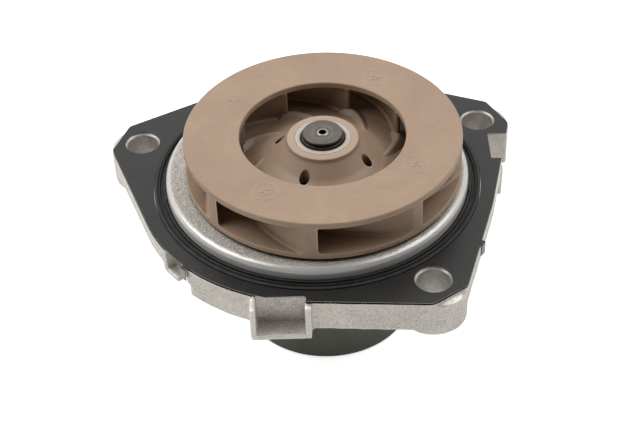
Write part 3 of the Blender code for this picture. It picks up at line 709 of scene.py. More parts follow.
def band(outer, inner, start, end, steps):
    """Plan of a strip of the rim; the first half of its points is the outer arc."""
    return ([polar(outer, start + (end - start) * i / steps, SPIGOT)
             for i in range(steps + 1)]
            + [polar(inner, end + (start - end) * i / steps, SPIGOT)
               for i in range(steps + 1)])


# ---------------------------------------------------------------- the casting
# (radius, height)
NECK_PROFILE = [(1.0, -1.5), (34.0, -1.5), (31.5, -7.0), (24.0, -11.0), (19.6, -16.0),
                (NECK_R, -20.0), (NECK_R, NECK_END + 0.8), (NECK_R - 0.8, NECK_END),
                (1.0, NECK_END)]
RIB_PROFILE = [(16.5, -1.7), (16.5, -20.0), (19.0, -20.0), (30.0, -8.6), (45.5, -6.3),
               (45.5, -1.7)]
RIB_ANGLES = (22.0, 72.0, 118.0, 160.0, 212.0, 262.0, 305.0)
RIB_HALF = 1.5
SKIRT_ANGLES, SKIRT_STEPS = (-134.5, -92.0), 24
SKIRT_FOOT = [(25.5, -50.35), (27.5, -44.0), (16.0, -42.8)]     # plan (x, y)
# boxes: x0, x1, y0, y1, z0, z1
TRAY = (-20.2, -4.3, -50.1, -42.0, -11.3, -0.45)
TRAY_CUT = (-18.55, -5.95, -53.1, -44.9, -9.55, 3.0)
LUG_NEAR = (43.0, 50.6, 4.6, 6.6, -11.0, -0.6)
LUG_FAR = (43.0, 53.5, 18.8, 20.7, -11.0, -0.6)
LUG_GAP = (46.6, 60.0, 6.6, 18.8, -20.0, 3.0)
# plan (x, y, corner radius)
TRAY_RECUT = [(-18.6, -54.0, 0), (-18.6, -44.85, 0.45), (-5.9, -44.85, 0.45),
              (-5.9, -54.0, 0)]
MOUTH_R, CUP_R, LEDGE_R, RING_SEAT_R = 21.0, 18.3, 12.9, 15.1   # bore, front to rear
MOUTH_Z, LEDGE_TOP, LEDGE_END = 1.2, -4.2, -8.7
# (radius, height, corner radius)
BORE_PROFILE = [(5.0, 9.0, 0), (MOUTH_R, 9.0, 0), (MOUTH_R, MOUTH_Z, 0.3),
                (CUP_R, MOUTH_Z, 0.25), (CUP_R, LEDGE_TOP, 0.3),
                (LEDGE_R, LEDGE_TOP, 0.2), (LEDGE_R, LEDGE_END, 0),
                (RING_SEAT_R, LEDGE_END, 0), (RING_SEAT_R, -34.2, 0), (15.5, -34.6, 0),
                (15.5, -45.0, 0), (5.0, -45.0, 0)]
SHOULDER_WIDE, SHOULDER_HIGH = 2.1, 1.7     # rounding of the register's rim
SEAT_R = 8.3                                # flat under each bolt boss
WEEP_R, WEEP_Y, WEEP_Z = 2.0, -25.0, -6.4


def rough_casting():
    body = prism("casting", flange_outline(FLANGE_R, BOSS_R + 0.3, 1.4), -FLANGE_T, 0.35)
    register = [(1.0, SPIGOT_TOP), (SPIGOT_R + 0.4, SPIGOT_TOP), (SPIGOT_R + 0.4, -2.5),
                (1.0, -2.5)]
    add = [revolve("register", register, 128, SPIGOT), revolve("neck", NECK_PROFILE)]
    skirt = band(FLANGE_R - 0.35, FLANGE_R - SKIRT_WALL, *SKIRT_ANGLES, SKIRT_STEPS)
    half = SKIRT_STEPS + 1
    add.append(prism("skirt", skirt[:half] + SKIRT_FOOT + skirt[half:],
                     -SKIRT_DEPTH, -0.7))
    for bolt in BOLTS:
        circle = [polar(BOSS_R, 360.0 * i / 48, bolt) for i in range(48)]
        add.append(prism("boss", circle, -BOSS_DEPTH, -0.8))
    for deg in RIB_ANGLES:
        add.append(stand_up(prism("rib", RIB_PROFILE, -RIB_HALF, RIB_HALF), deg))
    add.append(block("tray", *TRAY))
    cut_or_join(body, "UNION", *add)
    cut_or_join(body, "DIFFERENCE", block("tray_cut", *TRAY_CUT))
    cut_or_join(body, "UNION", block("lug_near", *LUG_NEAR), block("lug_far", *LUG_FAR))
    cut_or_join(body, "DIFFERENCE", block("lug_gap", *LUG_GAP))
    corner = band(FLANGE_R - 0.2, 43.5, -148.0, -139.8, 10)
    cut_or_join(body, "UNION", prism("corner", corner, -8.1, -0.9))
    # the core is cut as a ring and an overlapping rod on the axis
    core = [(0.5, 9.0), (11.0, 9.0), (11.0, -40.0), (0.5, -40.0)]
    cut_or_join(body, "DIFFERENCE",
                prism("corner_cut", band(60.0, 46.4, -145.8, -135.2, 10), -6.4, 3.0),
                revolve("core", core, 32), cylinder("core_axis", 3.0, 9.0, -40.0, 32))
    return body


def cast_skin(body):
    """Even mesh, melted corners, slightly uneven surface."""
    remesh = body.modifiers.new("skin", "REMESH")
    remesh.mode = "VOXEL"
    remesh.voxel_size = 0.45 * MM
    settle(body)
    melt = body.modifiers.new("melt", "SMOOTH")
    melt.factor, melt.iterations = 0.5, 5
    settle(body)
    mesh = body.data
    size = len(mesh.vertices) * 3
    points, normals = np.zeros(size, np.float32), np.zeros(size, np.float32)
    mesh.vertices.foreach_get("co", points)
    mesh.vertex_normals.foreach_get("vector", normals)
    points, normals = points.reshape(-1, 3), normals.reshape(-1, 3)
    # broad swells and finer lumps: height in mm, then waves per mm
    lump = np.array([0.055 * noise.noise(spot * 0.22) + 0.035 * noise.noise(spot * 0.8)
                     for spot in (Vector(point) / MM for point in points.tolist())])
    mesh.vertices.foreach_set("co", (points + normals * lump[:, None] * MM).ravel())
    mesh.update()


def machine(body):
    """Mounting face, register side and shoulder, bores, holes."""
    shoulder = [(SPIGOT_R - SHOULDER_WIDE + SHOULDER_WIDE * math.cos(turn),
                 SPIGOT_TOP - SHOULDER_HIGH + SHOULDER_HIGH * math.sin(turn))
                for turn in (math.radians(7.5 * k) for k in range(13))]
    face = [(75.0, 0.0), (SPIGOT_R + 0.25, 0.0), (SPIGOT_R, 0.25), *shoulder,
            (18.0, SPIGOT_TOP), (18.0, 9.0), (75.0, 9.0)]
    cutters = [revolve("face_cut", face, 256, SPIGOT),
               turned("bore_cut", BORE_PROFILE, 128)]
    hole = [(0.0, 9.0), (BOLT_HOLE_R + 0.5, 9.0), (BOLT_HOLE_R + 0.5, 0.0),
            (BOLT_HOLE_R, -0.45), (BOLT_HOLE_R, -BOSS_DEPTH + 0.3),
            (BOLT_HOLE_R + 0.4, -BOSS_DEPTH - 0.1), (BOLT_HOLE_R + 0.4, -20.0),
            (0.0, -20.0)]
    for bolt in BOLTS:
        cutters.append(revolve("bolt_cut", hole, 64, bolt))
        cutters.append(cylinder("seat_cut", SEAT_R, -BOSS_DEPTH, -20.0, 64, bolt))
    weep = cylinder("weep_cut", WEEP_R, 20.0 - LIFT, -20.0 - LIFT, 32)
    weep.data.transform(shift(0.0, WEEP_Y, LIFT + WEEP_Z)
                        @ Matrix.Rotation(math.radians(90.0), 4, "X"))
    cutters.append(weep)
    cutters.append(prism("tray_recut", soften(TRAY_RECUT), -9.6, 3.0))
    cut_or_join(body, "DIFFERENCE", *cutters)


def face_material(face):
    """Material slot of a face: 0 cast, 1 machined, 2 register, 3 drilled."""
    x, y, z = face.center / MM
    z -= LIFT
    radius = math.hypot(x, y)
    from_spigot = math.hypot(x - SPIGOT[0], y - SPIGOT[1])
    if abs(z) < 0.02 and face.normal.z > 0.99:
        return 1
    if (SPIGOT_R - 12.0 < from_spigot < SPIGOT_R + 0.3 and radius > MOUTH_R + 0.1
            and 0.0 < z < 4.6):
        return 2
    if radius < MOUTH_R + 0.05 and z < 1.9:
        return int(abs(radius - MOUTH_R) < 0.08 and z > 1.0
                   or abs(radius - CUP_R) < 0.35 and z > -4.5
                   or abs(radius - RING_SEAT_R) < 0.05 or abs(radius - LEDGE_R) < 0.25
                   or abs(z - MOUTH_Z) < 0.05 or abs(z - LEDGE_TOP) < 0.05
                   or abs(z - LEDGE_END) < 0.02)
    for bolt in BOLTS:
        from_bolt = math.hypot(x - bolt[0], y - bolt[1])
        if from_bolt < BOLT_HOLE_R + 0.6:
            return 3
        if from_bolt < SEAT_R + 0.05 and abs(z + BOSS_DEPTH) < 0.02:
            return 1
    return 0


def build_casting():
    body = rough_casting()
    cast_skin(body)
    machine(body)
    body.data.materials.clear()
    for mat in (CAST, MACHINED, REGISTER, DRILLED):
        body.data.materials.append(mat)
    for face in body.data.polygons:
        face.material_index = face_material(face)
    finish_piece(body, "housing_casting", "housing", None, "cast_aluminium", 34.0, False)


build_casting()

# ---------------------------------------------------------------- the gasket
# (growth, height): the cut edge, with a setback below that throws a dark line
SHEET_EDGE = [(-0.70, 0.06), (-0.66, 0.28), (-0.06, 0.35), (0.0, 0.39), (0.0, 0.49),
              (-0.03, 0.54), (-0.09, 0.56)]
# plan (x, y, corner radius): over the tray, and between the lugs
NOTCHES = [
    [(-19.0, -60.0, 0), (-5.6, -60.0, 0), (-5.6, -46.3, 0.6), (-19.0, -46.3, 0.6)],
    [(47.4, 7.4, 0.6), (60.0, 7.4, 0), (60.0, 18.7, 0), (47.4, 18.7, 0.6)]]
# angle, radius of the edge it hooks over
TABS = [(-135.2, GASKET_R), (-34.0, 51.6), (110.0, GASKET_R)]
# (radius, height, corner radius): inner lip, deep channel, thin ridge, outer band
BEAD_PROFILE = [
    (BEAD_R0, 0.08, 0.05), (BEAD_R0, 1.10, 0.22), (BEAD_R0 + 0.55, 1.10, 0.22),
    (BEAD_R0 + 0.75, 0.32, 0.15), (BEAD_R0 + 1.45, 0.32, 0.15),
    (BEAD_R0 + 1.60, 1.15, 0.09), (BEAD_R0 + 1.82, 1.15, 0.09),
    (BEAD_R0 + 1.98, 0.62, 0.06), (BEAD_R0 + 2.12, 0.62, 0.06),
    (BEAD_R0 + 2.28, 0.95, 0.14), (BEAD_R1, 0.90, 0.22), (BEAD_R1, 0.08, 0.05)]


def build_gasket():
    plate = plan_loft("gasket", flange_outline(GASKET_R, BOSS_R, 0.8), SHEET_EDGE)
    tools = [cylinder("hole", BEAD_R1 + 0.15, 3.0, -2.0, 192, SPIGOT)]
    hole = [(0.0, 3.0), (GASKET_HOLE_R + 0.12, 3.0), (GASKET_HOLE_R + 0.12, 0.56),
            (GASKET_HOLE_R, 0.46), (GASKET_HOLE_R, -2.0), (0.0, -2.0)]
    tools += [revolve("hole", hole, 64, bolt) for bolt in BOLTS]
    tools += [prism("notch", soften(notch), -2.0, 2.0) for notch in NOTCHES]
    cut_or_join(plate, "DIFFERENCE", *tools)
    tabs = []
    for deg, edge in TABS:
        hook = soften([(edge - 1.2, 0.55, 0), (edge - 1.2, 0.08, 0),
                       (edge + 0.75, 0.08, 0.12), (edge + 0.75, -3.4, 0.1),
                       (edge + 1.15, -3.4, 0.1), (edge + 1.15, 0.55, 0.5)])
        tabs.append(stand_up(prism("tab", hook, -0.9, 0.9, rounding=0.08), deg, SPIGOT))
    cut_or_join(plate, "UNION", *tabs)
    finish_piece(plate, "gasket_carrier", "housing", COATED, "coated_steel")
    finish_piece(turned("bead", BEAD_PROFILE, 256, SPIGOT), "gasket_bead", "housing",
                 BEAD, "black_rubber", 40.0)


build_gasket()

# --------------------------------------------------------------- the impeller
VANES, VANE_T = 8, 1.4
# a vane's angle at the rim, and degrees per unit of log radius outside and
# inside the radius where it leaves the eye
VANE_OUT_ANGLE, VANE_SPIRAL, ROOT_SPIRAL = -95.3, 121.9, 66.5
VANE_LEAD_R = EYE_R - 0.4
VANE_FOOT, VANE_HEAD = 0.85, 0.20           # fillets at the disc and the shroud
ROOT_R, ROOT_Z, ROOT_HIGH = 16.2, 6.4, 2.45
# (growth, share of the height) of the low run of a vane
ROOT_LEVELS = [(1.7, 0.0), (1.35, 0.34), (1.0, 0.50), (0.65, 0.64), (0.32, 0.76),
               (0.02, 0.86), (-0.22, 0.94), (-0.42, 0.985), (-0.58, 1.0)]
MARK_R, MARK_ANGLE = 28.8, 58.0
HOLE_R, HOLE_PITCH_R, HOLE_ANGLE = 1.5, 12.9, -24.0
# (radius, height, corner radius)
SHROUD_PROFILE = [(EYE_R, IMP_TOP - SHROUD_T, 0.25), (EYE_R, IMP_TOP, 0.45),
                  (IMP_R, IMP_TOP, 0.42), (IMP_R, IMP_TOP - SHROUD_T, 0.2)]
MARK_RING = [(2.9, IMP_TOP - 0.2, 0), (3.15, IMP_TOP + 0.09, 0.12),
             (3.5, IMP_TOP + 0.09, 0.12), (3.8, IMP_TOP - 0.2, 0)]
MARK_DOT = [(0.0, IMP_TOP + 0.20, 0), (0.42, IMP_TOP + 0.17, 0.15),
            (0.70, IMP_TOP - 0.2, 0), (0.0, IMP_TOP - 0.2, 0)]
# hub, flare and rear disc in one
HUB_PROFILE = [
    (7.58, HUB_TOP + 0.1, 0.12), (HUB_R - 0.05, HUB_TOP, 0.40), (HUB_R + 0.2, 14.6, 2.0),
    (13.4, 10.6, 6.0), (15.9, 9.0, 5.0), (18.6, 8.05, 5.0), (23.5, DISC_TOP, 5.0),
    (IMP_R, DISC_TOP, 0.30), (IMP_R, DISC_BOTTOM, 0.75), (18.0, DISC_BOTTOM, 1.2),
    (16.6, 5.7, 1.2), (12.8, 8.3, 0.8), (8.45, 8.3, 0.1), (8.45, 14.75, 0.05),
    (7.58, 14.75, 0.05)]
BUSH_PROFILE = [
    (7.53, HUB_TOP + 0.14, 0.15), (7.53, 14.7, 0.05), (BUSH_R, 14.7, 0.1),
    (BUSH_R, 12.6, 0.1), (BUSH_R - 0.6, 12.6, 0.1), (BUSH_R - 0.6, 11.4, 0.1),
    (BUSH_R, 11.4, 0.1), (BUSH_R, 8.4, 0.3), (6.15, 8.4, 0.3),
    (6.15, HUB_TOP + 0.14, 0.3)]


def vane_point(radius):
    outer = VANE_OUT_ANGLE - VANE_SPIRAL * math.log(IMP_R / max(radius, VANE_LEAD_R))
    angle = outer - ROOT_SPIRAL * math.log(VANE_LEAD_R / min(radius, VANE_LEAD_R))
    return Vector(polar(radius, angle))


def vane_plan(start, end, steps):
    """Plan of a vane: a spiral midline with thickness and a rounded inner end."""
    half = VANE_T * 0.5
    left, right, stations = [], [], []
    for i in range(steps + 1):
        radius = start + (end - start) * i / steps
        point = vane_point(radius)
        way = (vane_point(radius + 0.01) - point).normalized()
        side = Vector((-way.y, way.x)) * half
        left.append(tuple(point + side))
        right.append(tuple(point - side))
        stations.append((point, way, side))
    point, way, side = stations[0]
    tip = [tuple(point - side * math.cos(turn) - way * half * math.sin(turn))
           for turn in (math.pi * k / 8 for k in range(1, 8))]
    return left + right[::-1] + tip


def build_shroud():
    """Front shroud: a flat ring with raised moulding marks, one without its ring."""
    shroud = turned("shroud", SHROUD_PROFILE, 256, fine=11.0)
    marks = []
    for k in range(4):
        centre = polar(MARK_R, MARK_ANGLE + 90.0 * k)
        dots, spread = 2, 1.2
        if k != 1:
            dots, spread = 3, 0.85
            marks.append(turned("mark", MARK_RING, 64, centre))
        for i in range(dots):
            spot = polar(spread, 120.0 * i + 31.0 * k, centre)
            marks.append(turned("mark", MARK_DOT, 24, spot, closed=False))
    cut_or_join(shroud, "UNION", *marks)
    finish_piece(shroud, "impeller_shroud", "rotor", PLASTIC, "brown_plastic", 30.0)


def vane_levels():
    """(growth, height) of a vane, filleted into the disc and the shroud."""
    top = IMP_TOP - SHROUD_T
    levels = [(VANE_FOOT, DISC_TOP - 0.5)]
    for turn in (math.radians(90.0 * i / 5) for i in range(6)):
        levels.append((VANE_FOOT * (1.0 - math.sin(turn)),
                       DISC_TOP + VANE_FOOT * (1.0 - math.cos(turn))))
    for turn in (math.radians(90.0 * i / 4) for i in range(5)):
        levels.append((VANE_HEAD * (1.0 - math.cos(turn)),
                       top - VANE_HEAD + VANE_HEAD * math.sin(turn)))
    return levels + [(VANE_HEAD, top + 0.1)]


def build_hub():
    hub = turned("hub", HUB_PROFILE, 256, fine=9.0)
    vane = vane_plan(EYE_R + 0.80, IMP_R + 1.4, 30)
    root = vane_plan(ROOT_R, EYE_R + 1.1, 16)
    root_levels = [(growth, ROOT_Z + ROOT_HIGH * share) for growth, share in ROOT_LEVELS]
    pieces = []
    for k in range(VANES):
        for name, plan, levels in (("vane", vane, vane_levels()),
                                   ("root", root, root_levels)):
            piece = plan_loft(name, plan, levels)
            piece.data.transform(spin(360.0 * k / VANES))
            pieces.append(piece)
    cut_or_join(hub, "UNION", *pieces)
    trim = revolve("trim", [(IMP_R + 9.0, 20.0), (IMP_R + 9.0, 4.0), (IMP_R + 0.02, 4.0),
                            (IMP_R + 0.02, DISC_TOP - 0.3), (IMP_R - 0.1, DISC_TOP),
                            (IMP_R - 0.1, 20.0)], 256)
    holes = [cylinder("balance", HOLE_R, 20.0, 2.0, 32,
                      polar(HOLE_PITCH_R, HOLE_ANGLE + 90.0 * k)) for k in range(4)]
    cut_or_join(hub, "DIFFERENCE", trim, *holes)
    finish_piece(hub, "impeller_hub", "rotor", PLASTIC, "brown_plastic", 30.0)


build_shroud()
build_hub()
finish_piece(turned("bush", BUSH_PROFILE, 128), "impeller_bush", "rotor", BRIGHT,
             "bush_metal")

# ----------------------------------------------------------- shaft and bearing
# (radius, height, corner radius)
NOSE_PROFILE = [
    (0.0, SHAFT_TOP - 2.9, 0), (0.80, SHAFT_TOP - 2.4, 0.1), (0.92, SHAFT_TOP - 0.5, 0.1),
    (1.02, SHAFT_TOP - 0.02, 0.03), (1.12, SHAFT_TOP, 0.03), (1.40, SHAFT_TOP, 0.03),
    (1.52, SHAFT_TOP - 0.10, 0.04), (2.5, SHAFT_TOP - 0.10, 0.04),
    (2.62, SHAFT_TOP - 0.06, 0.04), (5.42, SHAFT_TOP - 0.02, 0.22),
    (5.42, SHAFT_TOP - 0.62, 0.08), (5.12, SHAFT_TOP - 0.70, 0.06),
    (5.12, SHAFT_TOP - 1.02, 0.06), (NOSE_R, SHAFT_TOP - 1.08, 0.2),
    (NOSE_R, SHAFT_STEP, 0.15), (SHAFT_R, SHAFT_STEP, 0.3), (SHAFT_R, 2.0, 0)]
TAIL_PROFILE = [(SHAFT_R, -36.0, 0), (SHAFT_R, SHAFT_END, 0.5), (2.4, SHAFT_END, 0.1),
                (1.0, SHAFT_END + 1.2, 0.1), (0.0, SHAFT_END + 1.8, 0)]
RING_REAR = [(RING_R1, RING_TOP - 0.4, 0), (RING_R1, RING_END, 0.4),
             (RING_R0 + 0.6, RING_END, 0.15), (RING_R0 + 0.6, RING_END + 1.5, 0.1),
             (RING_R0, RING_END + 1.5, 0)]
RING_FRONT = [(RING_R0, RING_TOP - 3.0, 0), (RING_R0, RING_TOP - 1.5, 0.1),
              (RING_R0 + 0.6, RING_TOP - 1.5, 0.1), (RING_R0 + 0.6, RING_TOP, 0.15),
              (RING_R1 - 0.4, RING_TOP, 0)]
CAGE_R0, CAGE_R1, POCKET_R, POCKET_HALF = 9.2, 11.15, 3.38, 2.6
CAGE_OPEN, CAGE_BACK = 1.6, 4.3     # reach of a cage to either side of its balls


def race(z, side):
    """Groove of a ball row: side +1 in the outer ring, -1 in the shaft."""
    depth, middle = (RING_R0, 0.0) if side > 0 else (SHAFT_R, 180.0)
    half = math.degrees(math.acos((depth - PITCH_R) * side / GROOVE_R))
    return [polar(GROOVE_R, middle - half + 2.0 * half * i / 12, (PITCH_R, z))
            for i in range(13)]


def build_shaft():
    profile = (soften(NOSE_PROFILE, closed=False) + race(ROW_FRONT, -1)
               + race(ROW_REAR, -1) + soften(TAIL_PROFILE, closed=False))
    finish_piece(revolve("shaft", profile, 128), "shaft", "rotor", SHAFT_STEEL,
                 "shaft_steel")


def build_outer_ring():
    profile = (soften(RING_REAR, closed=False) + race(ROW_REAR, +1)
               + race(ROW_FRONT, +1) + soften(RING_FRONT, closed=False))
    finish_piece(revolve("outer_ring", profile, 128), "bearing_outer_ring", "housing",
                 STEEL, "bearing_steel")


def build_bearing_seals():
    """Rubber washers with a shallow dished face and a lip."""
    for node, face, back, dish in (
            ("bearing_seal_front", RING_TOP - 0.15, RING_TOP - 1.35, 0.25),
            ("bearing_seal_rear", RING_END + 0.15, RING_END + 1.35, -0.25)):
        profile = [(8.12, face - dish), (8.7, face), (9.4, face), (9.7, face - dish),
                   (11.6, face - dish), (11.9, face), (RING_R0 + 0.45, face),
                   (RING_R0 + 0.45, back), (8.9, back), (8.12, back + dish)]
        washer = turned(node, [(radius, z, 0.12) for radius, z in profile])
        finish_piece(washer, node, "housing", RUBBER, "black_rubber", 40.0)


def build_balls():
    """One shared mesh: a subdivided cube pushed out to the ball radius."""
    work = bmesh.new()
    bmesh.ops.create_cube(work, size=2.0)
    bmesh.ops.subdivide_edges(work, edges=work.edges, cuts=11, use_grid_fill=True)
    for vert in work.verts:
        spread = Vector([math.tan(part * math.pi / 4) for part in vert.co])
        vert.co = spread.normalized() * BALL_R * MM
    mesh = bpy.data.meshes.new("ball")
    work.to_mesh(mesh)
    work.free()
    mesh.materials.append(STEEL)
    mesh.shade_smooth()
    for row, z in (("front", ROW_FRONT), ("rear", ROW_REAR)):
        for k in range(BALLS):
            node = "%s_ball_%d" % (row, k + 1)
            ball = place("visual_" + node, mesh)
            ball.location = Vector((*polar(PITCH_R, 360.0 * k / BALLS), z + LIFT)) * MM
            tie(ball, node, row + "_row", "bearing_steel")


def build_cages():
    for row, z, low, high in (("front", ROW_FRONT, CAGE_BACK, CAGE_OPEN),
                              ("rear", ROW_REAR, CAGE_OPEN, CAGE_BACK)):
        cage = turned("cage", [(CAGE_R1, z + high, 0.3), (CAGE_R1, z - low, 0.3),
                               (CAGE_R0, z - low, 0.3), (CAGE_R0, z + high, 0.3)], 192)
        pockets = []
        for k in range(BALLS):
            pocket = cylinder("pocket", POCKET_R, POCKET_HALF - LIFT,
                              -POCKET_HALF - LIFT, 48)
            pocket.data.transform(Matrix.Rotation(TAU * k / BALLS, 4, "Z")
                                  @ shift(PITCH_R, 0.0, z + LIFT)
                                  @ Matrix.Rotation(math.radians(90.0), 4, "Y"))
            pockets.append(pocket)
        cut_or_join(cage, "DIFFERENCE", *pockets)
        finish_piece(cage, row + "_cage", row + "_row", NYLON, "cage_nylon")


build_shaft()
build_outer_ring()
build_bearing_seals()
build_balls()
build_cages()

# ------------------------------------------------------------- mechanical seal
# node, body, material, slot, steps, profile of (radius, height, corner radius)
SEAL_RINGS = [
    ("seal_cup", "housing", BRASS, "seal_brass", 128,
     [(19.9, 1.9, 0.15), (19.9, 1.4, 0.15), (18.15, 1.4, 0.3), (18.15, -4.05, 0.9),
      (9.6, -4.05, 0.2), (9.6, -3.5, 0.2), (17.6, -3.5, 0.45), (17.6, 1.9, 0.8)]),
    ("seal_holder", "seal_face", STEEL, "bearing_steel", 96,
     [(16.9, 1.75, 0.2), (16.9, 1.2, 0.2), (10.4, 1.2, 0.15), (10.4, 1.75, 0.15),
      (13.7, 1.75, 0.2), (13.7, 2.9, 0.1), (14.2, 2.9, 0.2), (14.2, 1.75, 0.3)]),
    ("seal_carbon_ring", "seal_face", CARBON, "seal_carbon", 96,
     [(12.6, 3.5, 0.08), (13.4, 3.0, 0.1), (13.4, 2.05, 0.15), (9.4, 2.05, 0.15),
      (9.4, 3.0, 0.1), (10.0, 3.5, 0.08)]),
    ("seal_sleeve", "rotor", BRASS, "seal_brass", 96,
     [(14.0, 7.15, 0.15), (14.0, 6.7, 0.15), (8.7, 6.7, 0.4), (8.7, -3.0, 0.15),
      (8.2, -3.0, 0.15), (8.2, 7.15, 0.6)]),
    ("seal_mating_cup", "rotor", RUBBER, "black_rubber", 96,
     [(14.2, 6.4, 0.3), (14.2, 4.0, 0.2), (13.5, 4.0, 0.2), (13.5, 6.0, 0.2),
      (9.1, 6.0, 0.15), (9.1, 6.4, 0.15)]),
    ("seal_mating_ring", "rotor", CERAMIC, "seal_ceramic", 96,
     [(13.2, 5.7, 0.2), (13.2, 4.1, 0.1), (12.8, 3.8, 0.1), (9.5, 3.8, 0.1),
      (9.5, 5.7, 0.2)]),
    ("slinger", "rotor", RUBBER, "black_rubber", 96,
     [(9.2, -4.9, 0.2), (9.4, -6.6, 0.4), (12.2, -6.6, 0.2), (12.2, -7.3, 0.2),
      (9.4, -7.9, 0.2), (8.3, -7.9, 0.1), (8.3, -4.9, 0.1)]),
]
BELLOWS_PROFILE = [
    (14.6, 0.9, 0.2), (14.6, 0.2, 0.2), (13.2, 0.2, 0.3), (13.2, -1.2, 0.5),
    (15.1, -1.9, 0.4), (15.1, -3.2, 0.2), (10.2, -3.2, 0.2), (10.2, -2.2, 0.2),
    (12.2, -2.2, 0.4), (12.2, 0.9, 0.2)]
COIL_R, WIRE_R, COIL_Z, COIL_RISE = 16.1, 0.5, -2.85, 3.2
COIL_TURNS, FLAT_TURNS = 2.75, 0.35         # flat: the closed turn at each end
COIL_STEPS, WIRE_STEPS = 120, 16


def coil_spring():
    """Coil spring of round wire with both ends closed flat."""
    rings = []
    for i in range(COIL_STEPS + 1):
        share = i / COIL_STEPS
        angle = TAU * COIL_TURNS * share
        rise = (share * COIL_TURNS - FLAT_TURNS) / (COIL_TURNS - 2 * FLAT_TURNS)
        z = COIL_Z + COIL_RISE * min(max(rise, 0.0), 1.0)
        ring = []
        for turn in (TAU * k / WIRE_STEPS for k in range(WIRE_STEPS)):
            radius = COIL_R + WIRE_R * math.cos(turn)
            ring.append((radius * math.cos(angle), radius * math.sin(angle),
                         z + WIRE_R * math.sin(turn)))
        rings.append(ring)
    return loft("spring", rings)


def stretch_piece(piece, node, mat):
    """Finishes a piece that stretches between the housing and the seal face."""
    dress(piece, node, mat, 40.0, False)
    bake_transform(piece)
    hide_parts(node)


for node, body, mat, slot, steps, profile in SEAL_RINGS:
    finish_piece(turned(node, profile, steps), node, body, mat, slot)
stretch_piece(coil_spring(), "seal_spring", STEEL)
stretch_piece(turned("bellows", BELLOWS_PROFILE, fine=9.0), "seal_bellows", RUBBER)

# ------------------------------------------------------------------ the pulley
PULLEY_R0 = PULLEY_R - PULLEY_WALL
# (radius, height, corner radius)
PULLEY_PROFILE = [
    (PULLEY_R, PULLEY_TOP, 0.6), (PULLEY_R, PULLEY_END, 1.3),
    (PULLEY_R0, PULLEY_END, 0.5), (PULLEY_R0 - 0.5, PULLEY_END + 1.2, 0.6),
    (12.6, PULLEY_END + 1.2, 0.5), (12.6, PULLEY_END + 0.4, 0.4),
    (8.05, PULLEY_END + 0.4, 0.2), (8.05, -35.0, 0.3), (12.6, -35.0, 0.8),
    (12.6, PULLEY_END + 4.0, 1.2), (PULLEY_R0, PULLEY_END + 4.0, 1.4),
    (PULLEY_R0, PULLEY_TOP, 0.6)]
finish_piece(turned("pulley", PULLEY_PROFILE, 256, fine=9.0), "pulley", "rotor", PAINT,
             "pulley_paint")

# ---------------------------------------------------------------- stage, light
FLOOR_HALF, FLOOR_GAP = 6.0, 0.0001         # metres
LAMP_ELEVATION, LAMP_DISTANCE, LAMP_SIZE = 50.0, 1.0, 0.75  # degrees, metres


def build_floor():
    floor_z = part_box("shaft")[0].z - FLOOR_GAP
    mesh = bpy.data.meshes.new("floor")
    mesh.from_pydata([(x * FLOOR_HALF, y * FLOOR_HALF, floor_z)
                      for x, y in ((-1, -1), (1, -1), (1, 1), (-1, 1))],
                     [], [(0, 1, 2, 3)])
    floor = place("floor", mesh)
    mat = bpy.data.materials.new("pale_floor")
    mat.use_nodes = True
    graph = Graph(mat.node_tree)
    surface = mat.node_tree.nodes["Principled BSDF"]
    for key, value in (("Base Color", (0.92, 0.92, 0.915)), ("Roughness", 0.9),
                       ("Specular IOR Level", 0.1)):
        graph.put(surface.inputs[key], value)
    # seen from below the floor steps aside, so that the underside can be viewed
    eye = graph.node("VectorTransform", {0: (0.0, 0.0, 0.0)}, vector_type="POINT",
                     convert_from="CAMERA", convert_to="WORLD")[0]
    low = graph.calc("LESS_THAN", graph.node("SeparateXYZ", {0: eye})[2], floor_z)
    # the camera sees it a little brighter than it lights the object
    gain = graph.times(graph.node("LightPath")["Is Camera Ray"], 0.75)
    glow = graph.node("Emission", {0: (1.0, 1.0, 1.0), 1: gain})[0]
    lit = graph.node("AddShader", {0: surface.outputs[0], 1: glow})[0]
    clear = graph.node("BsdfTransparent")[0]
    mix = graph.node("MixShader", {0: low, 1: lit, 2: clear})[0]
    graph.put(mat.node_tree.nodes["Material Output"].inputs["Surface"], mix)
    mesh.materials.append(mat)


def build_world():
    """White to the camera; as light, bright towards +Y, dim towards -Y, and
    even below the horizon."""
    world = bpy.context.scene.world or bpy.data.worlds.new("world")
    bpy.context.scene.world = world
    world.use_nodes = True
    world.node_tree.nodes.clear()
    graph = Graph(world.node_tree)
    way = graph.node("SeparateXYZ", {0: graph.node("TexCoord")["Generated"]})
    sweep = graph.span(way[1], over=(-0.35, 0.55), to=(0.06, 0.95), soft=True)
    under = graph.span(way[2], over=(-0.02, -0.10))
    strength = graph.blend(under, sweep, 0.75)
    lit = graph.node("Background", {0: (1.0, 0.99, 0.975), 1: strength})[0]
    seen = graph.node("Background", {0: (1.0, 1.0, 1.0), 1: 1.0})[0]
    camera_ray = graph.node("LightPath")["Is Camera Ray"]
    mix = graph.node("MixShader", {0: camera_ray, 1: lit, 2: seen})[0]
    graph.node("OutputWorld", {0: mix})


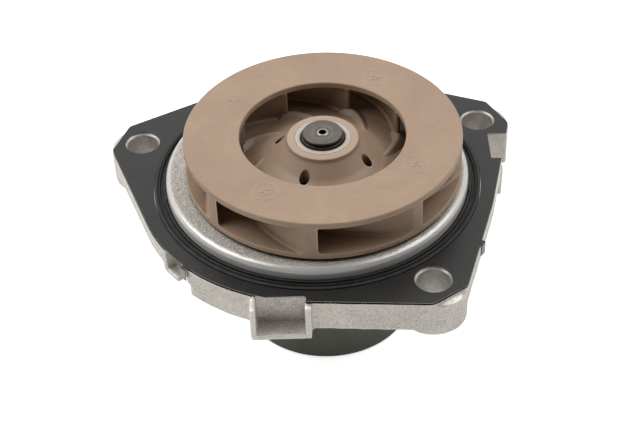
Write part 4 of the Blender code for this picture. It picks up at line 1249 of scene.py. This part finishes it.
def soft_box(name, azimuth, power):
    """A square area lamp aimed just above the mounting face."""
    turn, rise = math.radians(azimuth), math.radians(LAMP_ELEVATION)
    way = Vector((math.cos(turn) * math.cos(rise), math.sin(turn) * math.cos(rise),
                  math.sin(rise)))
    data = bpy.data.lights.new(name, "AREA")
    data.shape, data.size, data.size_y = "RECTANGLE", LAMP_SIZE, LAMP_SIZE
    data.energy, data.color = power, (1.0, 0.995, 0.98)
    lamp = place(name, data)
    lamp.location = Vector((0.0, 0.0, (LIFT + 5.0) * MM)) + way * LAMP_DISTANCE
    lamp.rotation_mode = "QUATERNION"
    lamp.rotation_quaternion = way.to_track_quat("Z", "Y")
    lamp.visible_camera = False


build_floor()
build_world()
soft_box("side_left", azimuth=176.0, power=5.4)
soft_box("side_right", azimuth=4.0, power=3.8)

# ----------------------------------------------------------------- the camera
CAMERA_ELEVATION, CAMERA_ROLL = 37.73, 1.82     # degrees
CAMERA_PAN, CAMERA_TILT = 0.09549288, -3.1138169    # turns after aiming, degrees
CAMERA_DISTANCE = 407.702                       # mm from the impeller's top
CAMERA_SENSOR, CAMERA_LENS = 36.0, 84.375       # mm


def turn_pair(first, second, deg):
    """Turns two square vectors in their own plane, the second towards minus the
    first."""
    cos, sin = math.cos(math.radians(deg)), math.sin(math.radians(deg))
    return first * cos + second * sin, second * cos - first * sin


def build_camera():
    """Looks down at the impeller from the -Y side, a little rolled, then turned
    so that the shaft axis leaves the picture's centre."""
    rise = math.radians(CAMERA_ELEVATION)
    right = Vector((1.0, 0.0, 0.0))
    look = Vector((0.0, math.cos(rise), -math.sin(rise)))
    up = Vector((0.0, math.sin(rise), math.cos(rise)))
    spot = Vector((0.0, 0.0, LIFT + IMP_TOP)) - look * CAMERA_DISTANCE
    up, right = turn_pair(up, right, CAMERA_ROLL)
    right, look = turn_pair(right, look, CAMERA_PAN)
    look, up = turn_pair(look, up, CAMERA_TILT)
    data = bpy.data.cameras.new("camera")
    data.sensor_width = CAMERA_SENSOR
    data.lens = CAMERA_LENS
    data.clip_start, data.clip_end = 0.01, 20.0
    camera = place("camera", data)
    rows = [(right[i], up[i], -look[i], spot[i] * MM) for i in range(3)]
    camera.matrix_world = Matrix((*rows, (0, 0, 0, 1)))
    bpy.context.scene.camera = camera


build_camera()
bpy.context.scene.view_settings.view_transform = "Standard"
